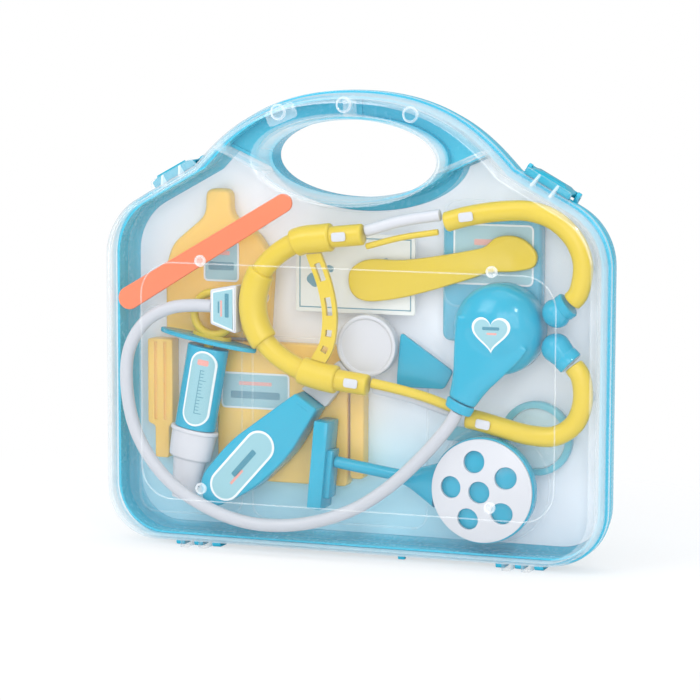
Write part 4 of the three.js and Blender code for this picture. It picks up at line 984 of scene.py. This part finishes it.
# The tube's holder and the printed labels
def print_front(piece, border):
    """Borders the front of a flat label: the rest of its front takes the printed colour."""
    mesh = bmesh.new()
    mesh.from_mesh(piece.data)
    front = max((face for face in mesh.faces if face.normal.y < -0.99), key=lambda face: face.calc_area())
    bmesh.ops.inset_region(mesh, faces=[front], thickness=border * MM)
    front.material_index = 1
    mesh.to_mesh(piece.data)
    mesh.free()
    return piece


def make_label(name, outline, front, node, border, marks):
    """A thin printed label: white border, pale middle, and marks given by place, half size, turn and ink."""
    piece = soften(slab(name, outline, front - 0.4, front - 0.1), 0.06, 2)
    for finish in ("border", "label"):
        piece.data.materials.append(FINISH[finish])
    pieces = [print_front(piece, border)]
    for x, z, half_x, half_z, turn, ink in marks:
        half, corner = (half_x, half_z), min(half_x, half_z) * 0.4
        pieces.append(paint(tilted_slab("mark", (x, z), half, front - 0.45, front - 0.38, turn, corner), ink))
    settle(join(name, pieces), None, node)


def make_connector():
    front = -12.6
    shares = [(-0.566, 0.561), (-0.46, 0.572), (-0.46, 0.467), (-0.566, 0.486)]
    piece = slab("tube_holder", rounded_shares(shares, 1.2), front, -4.8)
    settle(soften(piece, 0.5), "white", "tube_connector")
    inward = [(1, -1), (-1, -1), (-1, 1), (1, 1)]
    corners = [(x + dx, z + dz) for (x, z), (dx, dz) in zip(map(at, shares), inward)]
    (left, top), _, (right, _), (_, bottom) = map(at, shares)
    x, z = (left + right) / 2, (top + bottom) / 2
    marks = [
        (x + 2.2, z + 1, 1.1, 6.2, 0, "ink"), (x - 0.9, z - 0.6, 0.5, 4.2, 0, "coral"),
        (x - 2.4, z, 0.4, 3, 0, "ink"),
    ]
    make_label("holder_label", rounded_outline(corners, 1), front, "connector_label", 0.7, marks)


TUBE_RADIUS = 3.35
TUBE_ROUTE = [
    (58.4, -14.4, 77.2), (55.2, -14.6, 71.4), (49.2, -14.8, 63.6), (36.6, -14.8, 49.7), (20.7, -14.8, 35.4),
    (1.8, -14.8, 23.3), (-25.4, -14.8, 14.6), (-53, -14.8, 13.4), (-78.1, -14.8, 20.4), (-100.6, -14.8, 34.6),
    (-116, -14.8, 55.8), (-122, -14.8, 80), (-120.6, -14.6, 101), (-111.8, -13.6, 115.5), (-98.5, -12, 123),
    (-86, -9.6, 124.6), (-80, -9, 124.6), (-76.2, -9, 124.6),
]


def make_tube():
    path = evenly(smooth_path([row(*place) for place in TUBE_ROUTE], 14), 170)
    piece = swept("stethoscope_hose", [(place, TUBE_RADIUS) for place in path], 8)
    settle(piece, "tube", "stethoscope_tube")


# Chestpiece
def make_chestpiece():
    """A domed bulb that melts into an oval neck, and the collar at the neck's end."""
    profile = [(0, 0), (CHEST_RADIUS - 0.8, 0), (CHEST_RADIUS, 0.8), (CHEST_RADIUS, CHEST_SIDE)]
    profile += [(CHEST_RADIUS * (1 - g), CHEST_SIDE + CHEST_DOME * s) for s, g in quarter(14)[1:]]
    x, z = at(CHEST)
    dome = turned("chest_bulb", profile, row(x, REST, z), OUT, 72)
    middle, neck, end = spread([CHEST, CHEST_NECK, CHEST_END], CHEST_MIDDLE)
    shape = [(0.9, 0.3), (0.82, 0.42), (0.72, 0.55), (0.6, 0.74), (0.47, 0.9), (0.38, 0.97), (0.32, 1)]
    stations = [
        (middle.lerp(neck, i / (len(shape) - 1)), wide * CHEST_RADIUS, deep * 4.6)
        for i, (wide, deep) in enumerate(shape)
    ]
    body = combine(dome, oval_bar("chest_neck", stations), "UNION")
    blend = body.modifiers.new("blend", "REMESH")
    blend.mode = "VOXEL"
    blend.voxel_size = 0.7 * MM
    blend.use_smooth_shade = True
    ease = body.modifiers.new("ease", "SMOOTH")
    ease.factor = 0.5
    ease.iterations = 22
    apply_modifiers(body)
    settle(shade(body, 60), "tool", "chestpiece")
    heading = (end - neck).normalized()
    first = neck + heading * CLEARANCE * MM
    length = (end - first).length
    shape = [(0, 0.93), (0.1, 0.98), (0.2, 1), (0.8, 0.95), (0.92, 0.93), (1, 0.87)]
    stations = [(first + heading * length * t, 7.6 * wide, 4.8 * wide) for t, wide in shape]
    settle(shade(oval_bar("hose_collar", stations), 50), "tool", "chestpiece_collar")


def heart_outline(size, steps=44):
    x, z = at(CHEST)
    points = []
    for i in range(steps):
        t = 2 * math.pi * i / steps
        up = (13 * math.cos(t) - 5 * math.cos(2 * t) - 2 * math.cos(3 * t) - math.cos(4 * t)) / 16
        points.append((x + math.sin(t)**3 * size / 2, z + up * size / 2))
    return points


def on_dome(name, outline, low, high, finish):
    """A piece of the skin round the chestpiece's bulb, between two heights above it, cut to the outline."""
    x, z = at(CHEST)
    skins = []
    for growth in (high, low):
        wide, tall = CHEST_RADIUS + growth, CHEST_DOME + growth
        profile = [(0, 0)] + [(wide * (1 - g), tall * s) for s, g in quarter(40)]
        skins.append(turned(name, profile, row(x, REST - CHEST_SIDE, z), OUT, 96))
    return patch(*skins, slab("slug", outline, CHEST_FRONT - 2, CHEST_FRONT + 8), 50, finish)


def make_heart():
    """A heart-shaped label on the dome: a white border, a pale middle and two short marks."""
    x, z = at(CHEST)
    pieces = [
        on_dome("heart_sticker", heart_outline(20), 0.02, 0.3, "border"),
        on_dome("heart_middle", heart_outline(17.4), 0.1, 0.36, "label"),
    ]
    for dx, dz, half_x, half_z, ink in ((0.3, 2, 4.4, 0.8, "ink"), (0.8, -0.6, 2.6, 0.5, "coral")):
        edge = rounded_box((x + dx - half_x, z + dz - half_z), (x + dx + half_x, z + dz + half_z), 0.4)
        pieces.append(on_dome("heart_mark", edge, 0.3, 0.4, ink))
    settle(join("heart_sticker", pieces), None, "heart_label")


# Otoscope
OTOSCOPE_SHARES = [
    (-0.136, 0.311), (-0.255, 0.2), (-0.4, 0.125), (-0.54, 0.085), (-0.599, 0.08), (-0.622, 0.145),
    (-0.493, 0.231), (-0.222, 0.343),
]
OTOSCOPE_CORNERS = [1.5, 9, 9, 9, 6, 8, 9, 1.5]
OTOSCOPE_DISC = (0.037, 0.447)
DISC_RADIUS = 16


def make_otoscope():
    """A tapered grip with a raised loop on its end face, its label, the stem and the round disc."""
    corners = [Vector(at(share)) for share in OTOSCOPE_SHARES]
    edge = rounded_outline(corners, OTOSCOPE_CORNERS, 6)
    body = soften(slab("otoscope_grip", edge, LOOSE_FRONT, REST), 4.2, 7, angle=50)
    low, high = corners[0], corners[-1]
    root, top = (low + high) / 2, (high - low).normalized()
    middle = root + (corners[1] - low).normalized() * 3.4
    half = (high - low).length / 2 - 1.2
    loop = []
    for c, s in circle(48) + circle(1):
        along = top * math.copysign(abs(c) ** 0.4, c) * half
        depth = math.copysign(abs(s) ** 0.4, s) * 7.9
        loop.append(row(middle.x + along.x, (LOOSE_FRONT + REST) / 2 + depth, middle.y + along.y))
    settle(join("otoscope_grip", [body, bar("ridge", loop, 0.8, 0.1)]), "tool", "otoscope_handle")

    start, end = at((-0.51, 0.134)), at((-0.37, 0.222))
    turn = math.atan2(end[1] - start[1], end[0] - start[0])
    x, z, _, _ = middle_of(start, end)
    marks = [(x + 1, z + 1.4, 9, 1.5, turn, "ink"), (x - 3, z - 6, 5, 0.7, turn, "coral")]
    make_label("otoscope_sticker", pill(start, end, 8.5), LOOSE_FRONT, "otoscope_label", 1.1, marks)

    disc = Vector(at(OTOSCOPE_DISC))
    heading = (disc - root).normalized()
    across = Vector((-heading.y, heading.x)) * 4.6
    start = root + Vector((top.y, -top.x)) * CLEARANCE
    end = root + heading * ((disc - root).length - DISC_RADIUS - CLEARANCE)
    outline = [start - top * 8, end - across, end + across, start + top * 8]
    stem = slab("otoscope_stem", outline, YOKE_DEPTH + 7.3 + CLEARANCE, REST)
    settle(soften(stem, 0.8), "white", "otoscope_neck")
    profile = [(0, 0), (DISC_RADIUS, 0), (DISC_RADIUS, 6.7), (14.2, 6.7), (13.6, 5.6), (0, 5.6)]
    plate = turned("round_mirror", rounded_profile(profile, 0.8, 4), row(disc.x, REST, disc.y), OUT, 72)
    settle(shade(plate, 50), "white", "otoscope_disc")


# Syringe, drawn upright at the foot of the seam
SYRINGE = (-0.664, 0.25)
SYRINGE_TILT = math.radians(10.1)
BARREL_LENGTH = 46
BARREL_RADIUS = 11.2
BARREL_DEPTH = 7.9
FLANGE = 2.3
FOOT = row(0, 0, 0)


def along_syringe(piece):
    x, z = at(SYRINGE)
    return placed(piece, x, REST - BARREL_DEPTH, z, SYRINGE_TILT)


def on_barrel(name, outlines, low, high, finish):
    """Pieces of the skin round the barrel, between two heights above it, cut to the outlines."""
    skins = []
    for growth in (high, low):
        radius = BARREL_RADIUS + growth
        flat = (BARREL_DEPTH + growth) / radius
        skins.append(turned(name, cylinder(radius, 0, BARREL_LENGTH), FOOT, UP, 96, flat))
    slugs = join("slugs", [slab("slug", outline, -BARREL_DEPTH - 1, 0) for outline in outlines])
    return patch(*skins, slugs, 40, finish)


def make_barrel():
    """An oval barrel with a bore and an oval finger flange."""
    profile = rounded_profile(cylinder(BARREL_RADIUS, 0, BARREL_LENGTH - FLANGE), 0.6)
    barrel = turned("barrel", profile, FOOT, UP, 64, BARREL_DEPTH / BARREL_RADIUS)
    flange = slab("flange", [(27 * c - 0.6, BARREL_DEPTH * s) for c, s in circle(64)], 0, FLANGE)
    lift = Matrix.Translation(row(0, 0, BARREL_LENGTH))
    flange.data.transform(lift @ Matrix.Rotation(math.pi / 2, 4, "X") @ Matrix.Translation(-FOOT))
    combine(barrel, soften(flange, 0.5), "UNION")
    combine(barrel, turned("bore", cylinder(2.8, 2.6, 60), FOOT, UP, 40))
    settle(shade(along_syringe(barrel), 35), "tool", "syringe_barrel")


def make_plunger():
    """A rod with an oval thumb plate and a ring on it."""
    low, ring_radius = BARREL_LENGTH + 0.9, 11
    plunger = turned("rod", rounded_profile(cylinder(2.45, low - 35.8, low + 1), 0.5), FOOT, UP, 40)
    profile = rounded_profile(cylinder(10.8, low, low + 3.4), 0.8)
    thumb = turned("thumb", profile, FOOT, UP, 56, 5 / 10.8)
    # Built at the foot and then moved: with the plate built in its place, the exact boolean loses the rod.
    thumb.data.transform(Matrix.Translation((0, 2.7 * MM, 0)))
    combine(plunger, thumb, "UNION")
    bpy.ops.mesh.primitive_torus_add(
        major_radius=ring_radius * MM, minor_radius=2.2 * MM, major_segments=64, minor_segments=20,
    )
    ring = bpy.context.object
    lift = Matrix.Translation(row(0, 0, low + 3.4 + ring_radius))
    ring.data.transform(lift @ Matrix.Rotation(math.pi / 2, 4, "X"))
    combine(plunger, ring, "UNION")
    settle(shade(along_syringe(plunger)), "yellow", "syringe_plunger", "plunger")


def make_sleeve():
    profile = [
        (0, -0.3), (13.2, -0.3), (13.2, -2.2), (12.3, -2.6), (12.1, -9), (11.8, -16), (9.3, -17), (6.8, -37),
        (6.6, -38.5), (0, -38.5),
    ]
    sleeve = turned("sleeve", rounded_profile(profile, 0.8), FOOT, UP, 64, 0.6)
    settle(shade(along_syringe(sleeve)), "white", "syringe_sleeve")


def make_syringe_label():
    """A pill-shaped label round the barrel, with a plain scale and a coral block."""
    low, high = 0.05 * BARREL_LENGTH, 0.92 * BARREL_LENGTH
    start, end = (1.6, low + 7.2), (1.6, high - 7.2)
    scale = [box(0.9, low + 6.8, 1.25, low + 30)]
    for i in range(14):
        z = low + 7 + i * 1.75
        scale.append(box(1.3, z - 0.17, 1.3 + (1.8 if i % 5 else 3.4), z + 0.17))
    block = rounded_box((-1.4, high - 7.6), (4.6, high - 4.6), 0.8)
    pieces = [
        on_barrel("syringe_sticker", [pill(start, end, 7.2)], 0.08, 0.4, "border"),
        on_barrel("middle", [pill(start, end, 6.2)], 0.2, 0.46, "label"),
        on_barrel("scale", scale, 0.4, 0.5, "ink"),
        on_barrel("block", [block], 0.4, 0.5, "coral"),
    ]
    settle(along_syringe(join("syringe_sticker", pieces)), None, "syringe_label")


# Reflex hammer and hearing drum
DRUM = (0.531, 0.158)
COVER_DEPTH = -11.9
SHAFT_DEPTH = -3


def make_hammer():
    top, bottom = Vector(at((-0.117, 0.284))), Vector(at((-0.147, 0.092)))
    height = (top - bottom).length
    tilt = math.atan2(top.x - bottom.x, top.y - bottom.y)
    middle = (LOOSE_FRONT + REST) / 2
    head = box_piece("head", (-3.9, LOOSE_FRONT, 0), (3.9, REST, height), 0.7)
    collar = box_piece("collar", (2.9, middle - 5.5, 0.13 * height), (6.7, middle + 5.5, 0.68 * height), 0.7)
    body = join("hammer_block", [head, collar])
    settle(placed(body, bottom.x, 0, bottom.y, tilt), "tool", "hammer_head")

    across = Vector((math.cos(tilt), 0, -math.sin(tilt)))
    along = Vector((math.sin(tilt), 0, math.cos(tilt)))
    drum_x, drum_z = at(DRUM)
    start = row(bottom.x, SHAFT_DEPTH, bottom.y) + (across * 7 + along * 0.545 * height) * MM
    end = row(0.17 * HALF_WIDTH, SHAFT_DEPTH, 0.174 * HEIGHT)
    flare_end = row(0.335 * HALF_WIDTH, SHAFT_DEPTH, drum_z)
    shaft = bar("hammer_stick", [start, start.lerp(end, 0.5), end], 3.1, 0.5, 7)
    shape = [(-0.1, 3.1, 3.1), (0.1, 3.3, 3.3), (0.4, 5.4, 4.2), (0.7, 8.6, 5.6), (1, 12, 7)]
    stations = [
        (end.lerp(flare_end, t) if t > 0 else end.lerp(start, -t), wide, deep) for t, wide, deep in shape
    ]
    combine(shaft, oval_bar("flare", stations), "UNION")
    combine(shaft, turned("room", cylinder(27.3, -30, 30), row(drum_x, 0, drum_z), BACK, 96))
    settle(shade(shaft), "tool", "hammer_shaft")


def cover_skin(name, low, reach, wall, rise):
    """A low dome on a short wall, over the drum."""
    x, z = at(DRUM)
    shares = [i / 16 for i in range(17)]
    shape = [(0, low), (reach, low)]
    shape += [(reach * (1 - t), low + wall + rise * (1 - (1 - t)**2)) for t in shares]
    return turned(name, shape, row(x, COVER_DEPTH, z), OUT, 80)


def make_drum():
    """A cup with a domed top, and its domed cover with one hole in the middle and five round it."""
    x, z = at(DRUM)
    profile = [(0, 0), (19, 0), (27, 11.5), (27, 17.5), (24, 17.5)]
    profile += [(18, 19), (12, 20.2), (6, 20.9), (0, 21.1)]
    cup = turned("drum_cup", rounded_profile(profile, 0.8), row(x, REST, z), OUT, 80)
    settle(shade(cup, 45), "tool", "hearing_drum")
    radius, dome, wall = 26.2, 4.6, 1.4
    cover = cover_skin("disc_cover", 0, radius, wall, dome)
    combine(cover, cover_skin("inside", -wall, radius - wall, wall, dome - wall / 2))
    angles = [math.radians(102) + 2 * math.pi * i / 5 for i in range(5)]
    for dx, dz in [(0, 0)] + [(15.4 * math.cos(angle), 15.4 * math.sin(angle)) for angle in angles]:
        combine(cover, turned("drill", cylinder(5.6, -2, 12), row(x + dx, COVER_DEPTH, z + dz), OUT, 40))
    settle(soften(cover, 0.3, 2, angle=50), "white", "drum_cover")


# Rear layer
def make_rear():
    """The bottle, the book, the narrow bar and the phone, and the labels of three of them."""
    bottle = [
        (-0.82, 0.447), (-0.39, 0.447), (-0.37, 0.62), (-0.43, 0.675), (-0.545, 0.715), (-0.545, 0.773),
        (-0.65, 0.773), (-0.65, 0.715), (-0.79, 0.65), (-0.82, 0.6),
    ]
    piece = slab("bottle", rounded_shares(bottle, 5), REAR_FRONT, REAR_BACK)
    settle(soften(piece, 2.2, 4), "tan", "toy_bottle")
    blocks = [
        ("book", [(-0.6, 0.132), (-0.06, 0.439)], 2.4, 1.1, "tan", "record_book"),
        ("bar", [(-0.05, 0.15), (0.007, 0.345)], 2.4, 1.1, "tan", "ruler_bar"),
        ("handset", [(0.321, 0.462), (0.709, 0.731)], 4.4, 2.0, "tool", "toy_phone"),
    ]
    for name, shares, corner, edge, finish, node in blocks:
        piece = slab(name, rounded_box(*map(at, shares), corner), REAR_FRONT, REAR_BACK)
        settle(soften(piece, edge, 4), finish, node)
    labels = [
        ("bottle_sticker", [(-0.655, 0.57), (-0.507, 0.66)], 2.4, "bottle_label"),
        ("book_sticker", [(-0.582, 0.292), (-0.297, 0.372)], 2.4, "book_label"),
        ("handset_sticker", [(0.365, 0.585), (0.68, 0.715)], 3, "phone_label"),
    ]
    for name, shares, corner, node in labels:
        low, high = map(at, shares)
        x, z, wide, tall = middle_of(low, high)
        marks = [
            (x, z - 0.24 * tall, 0.72 * wide, 0.2 * tall, 0, "ink"),
            (x, z + 0.4 * tall, 0.48 * wide, 0.1 * tall, 0, "coral"),
        ]
        make_label(name, rounded_box(low, high, corner), REAR_FRONT, node, 0.9, marks)


def make_dropper():
    top = 0.437
    shares = [
        (-0.864, 0.172), (-0.806, 0.172), (-0.806, 0.243), (-0.79, 0.25), (-0.79, top), (-0.895, top),
        (-0.895, 0.25), (-0.864, 0.243),
    ]
    body = slab("dropper", rounded_shares(shares, 1.5), REAR_FRONT - 0.4, REAR_BACK)
    for share in (-0.862, -0.822):
        x, z = at((share, 0.25))
        groove = box(x - 0.8, z + 1.6, x + 0.8, top * HEIGHT - 1.6)
        combine(body, slab("groove", groove, REAR_FRONT - 2, REAR_FRONT + 1.2))
    settle(soften(body, 0.5), "tan", "ridged_dropper")


def make_picture():
    """A printed card with a plain line frame and a few dots."""
    low, high = at((-0.271, 0.513)), at((0.213, 0.685))
    x, z, wide, tall = middle_of(low, high)
    sheet = slab("picture", rounded_box(low, high, 1.2), REAR_FRONT - 0.3, REAR_FRONT + 0.8)
    pieces = [paint(soften(sheet, 0.15, 2), "print")]
    marks = [(0, side * (tall - 2.4), wide - 2, 0.3, 0, 0.1) for side in (1, -1)]
    marks += [(side * (wide - 2.3), 0, 0.3, tall - 2.4, 0, 0.1) for side in (1, -1)]
    dots = [(-0.7, 0.3, 2.6), (-0.7, -0.2, 3.6), (-0.42, 0.1, 2.0), (0.5, 0.3, 2.4), (0.62, -0.2, 1.6)]
    marks += [(dx * wide, dz * tall, size, size * 0.8, dx, size * 0.6) for dx, dz, size in dots]
    front = REAR_FRONT - 0.36
    for dx, dz, half_x, half_z, turn, corner in marks:
        mark = tilted_slab("mark", (x + dx, z + dz), (half_x, half_z), front, front + 0.08, turn, corner)
        pieces.append(paint(mark, "ink"))
    settle(join("picture", pieces), None, "picture_card")


def make_magnifier():
    x, z = at((0.694, 0.262))
    thickness, depth = 5, REAR_FRONT + 4.6
    place = row(x, depth, z)
    ring = turned("magnifier_frame", rounded_profile(cylinder(19, 0, thickness), 1.2), place, OUT, 72)
    grip = slab("grip", rounded_box((x - 49, z - 3.5), (x - 17.3, z + 3.5), 3), depth - thickness, depth)
    combine(ring, soften(grip, 0.8), "UNION")
    combine(ring, turned("hole", cylinder(15.6, -4, 9), place, OUT, 72))
    settle(shade(ring), "teal", "lens_frame")
    profile = [(0, -0.7), (15.1, -0.7), (15.3, 0), (15.1, 0.7), (8, 0.7), (0, 0.7)]
    glass = turned("magnifier_lens", profile, row(x, depth - thickness / 2, z), OUT, 72)
    lamps_pass(settle(shade(glass), "lens", "lens"))


# Card and tray
# Each post of the tray is its place and the depth of the tool that it carries.
POSTS = [
    ((-0.784, 0.578), -9.0), ((-0.41, 0.704), -9.0), ((0.894, 0.63), -0.9), ((0.903, 0.36), -0.9),
    ((-0.403, 0.54), -0.7),
]


def flat_sheet(name, front, back, margin):
    """An inner sheet: the case's outline, cut off below the handle's ribs and round the finger hole."""
    sheet = slab(name, case_outline(margin), front, back)
    low, high = at((0.33, 0.815)), at((0.66, 0.895))
    above = both_sides([low, high, (high[0], HEIGHT + 5)])
    combine(sheet, slab("above", above, front - 2, back + 2))
    return combine(sheet, grip_loft("cut", [(front - 2, 8.5), (back + 2, 8.5)]))


def make_sheets():
    """The backing card, and the tray with its low beads and its posts."""
    card = flat_sheet("back_card", CARD_BACK - CARD_THICKNESS, CARD_BACK, 6.3)
    settle(card, "card", "backing_card")
    pieces = [soften(flat_sheet("tray_sheet", TRAY_FRONT, TRAY_FRONT + 0.8, 3.7), 0.2, 2)]
    x, z = at(DRUM)
    beads = [
        rounded_box((-124, 12), (-66, 122), 9), rounded_box((-60, 12), (36, 108), 8),
        [(x + 30 * c, z + 30 * s) for c, s in circle(64)], rounded_box((44, 128), (118, 182), 8),
    ]
    for outline in beads:
        path = [row(x, TRAY_FRONT + 0.25, z) for x, z in outline]
        pieces.append(bar("bead", path + path[:2], 0.5, 0.1, 4))
    for share, seat in POSTS:
        x, z = at(share)
        profile = rounded_profile(cylinder(3.5, -0.4, TRAY_FRONT - seat - 0.3), 0.5)
        pieces.append(shade(turned("post", profile, row(x, TRAY_FRONT, z), OUT, 32)))
    lamps_pass(settle(join("tray_sheet", pieces), "tray", "inner_tray"))


# Stage
# Seen from the side, a line of sight crosses more clear faces of the lid and the tray than Blender's usual 8.
CLEAR_FACES = 32
LAMPS = [
    ("key_softbox", (-0.8, -1.3, 1.3), (0.9, 0.9), 8),
    ("front_softbox", (0.5, -1.62, 0.6), (1.3, 0.9), 9),
    ("top_softbox", (0.15, -0.2, 1.6), (1.3, 1.0), 7),
    ("right_softbox", (1.3, -0.8, 0.8), (0.7, 1.3), 1.5),
    ("spark_lamp", (0.9, -1.2, 1.2), (0.14, 0.14), 2.6),
    ("left_strip", (-1.5, -0.3, 0.5), (0.3, 1.2), 4),
]


def floor_material():
    """White paper that keeps the case's shadow and fades out into the white backdrop round it."""
    material, tree = new_tree("white_paper_floor")
    camera = add_node(tree, "LightPath").outputs["Is Camera Ray"]
    paper = add_node(tree, "BsdfPrincipled", Base_Color=linear("#F6F6F7"), Roughness=0.9)
    glow = add_node(tree, "Emission", Color=WHITE, Strength=1.0)
    share = add_node(tree, "Math", {"operation": "MULTIPLY"}, _0=camera, _1=0.6)
    lit = add_node(tree, "MixShader", _0=share, _1=paper, _2=glow)
    place = add_node(tree, "TexCoord").outputs["Object"]
    reach = add_node(tree, "VectorMath", {"operation": "LENGTH"}, _0=place).outputs["Value"]
    fade = add_node(
        tree, "MapRange", {"interpolation_type": "SMOOTHSTEP"}, Value=reach, From_Min=0.14, From_Max=0.42,
    )
    seen = add_node(tree, "Math", {"operation": "MULTIPLY"}, _0=camera, _1=fade)
    gone = add_node(tree, "BsdfTransparent", Color=WHITE)
    mixed = add_node(tree, "MixShader", _0=seen, _1=lit, _2=gone)
    add_node(tree, "OutputMaterial", Surface=mixed)
    return material


def make_stage():
    bpy.ops.mesh.primitive_plane_add(size=6)
    floor = bpy.context.object
    floor.name = "floor"
    floor.data.materials.append(floor_material())

    world = bpy.data.worlds.new("studio")
    bpy.context.scene.world = world
    world.use_nodes = True
    tree = world.node_tree
    tree.nodes.clear()
    ray = add_node(tree, "LightPath").outputs
    seen = add_node(
        tree, "Math", {"operation": "MAXIMUM"}, _0=ray["Is Camera Ray"], _1=ray["Is Transmission Ray"],
    )
    soft = add_node(tree, "MapRange", Value=ray["Is Glossy Ray"], To_Min=0.78, To_Max=0.6)
    around = add_node(tree, "Background", Color=linear("#F4F7FA"), Strength=soft)
    plain = add_node(tree, "Background", Color=WHITE, Strength=1.0)
    add_node(tree, "OutputWorld", Surface=add_node(tree, "MixShader", _0=seen, _1=around, _2=plain))

    for name, place, size, power in LAMPS:
        bpy.ops.object.light_add(type="AREA", location=place)
        lamp = bpy.context.object
        lamp.name = name
        lamp.data.shape = "RECTANGLE"
        lamp.data.size, lamp.data.size_y = size
        lamp.data.energy = power
        aim = Vector((0, 0, 0.12)) - Vector(place)
        lamp.rotation_euler = aim.to_track_quat("-Z", "Y").to_euler()


for make in (
    add_camera, make_tube, make_stage, make_base, make_lid, make_latches, make_sheets,
    make_rear, make_dropper, make_picture, make_magnifier,
    make_tongue_depressor, make_spatula, make_wedge,
    make_yoke, make_strap, make_links, make_arms, make_ear_tips, make_tabs, make_connector,
    make_chestpiece, make_heart, make_otoscope,
    make_barrel, make_plunger, make_sleeve, make_syringe_label, make_hammer, make_drum,
):
    make()

scene = bpy.context.scene
scene.view_settings.view_transform = "Standard"
scene.cycles.transparent_max_bounces = CLEAR_FACES
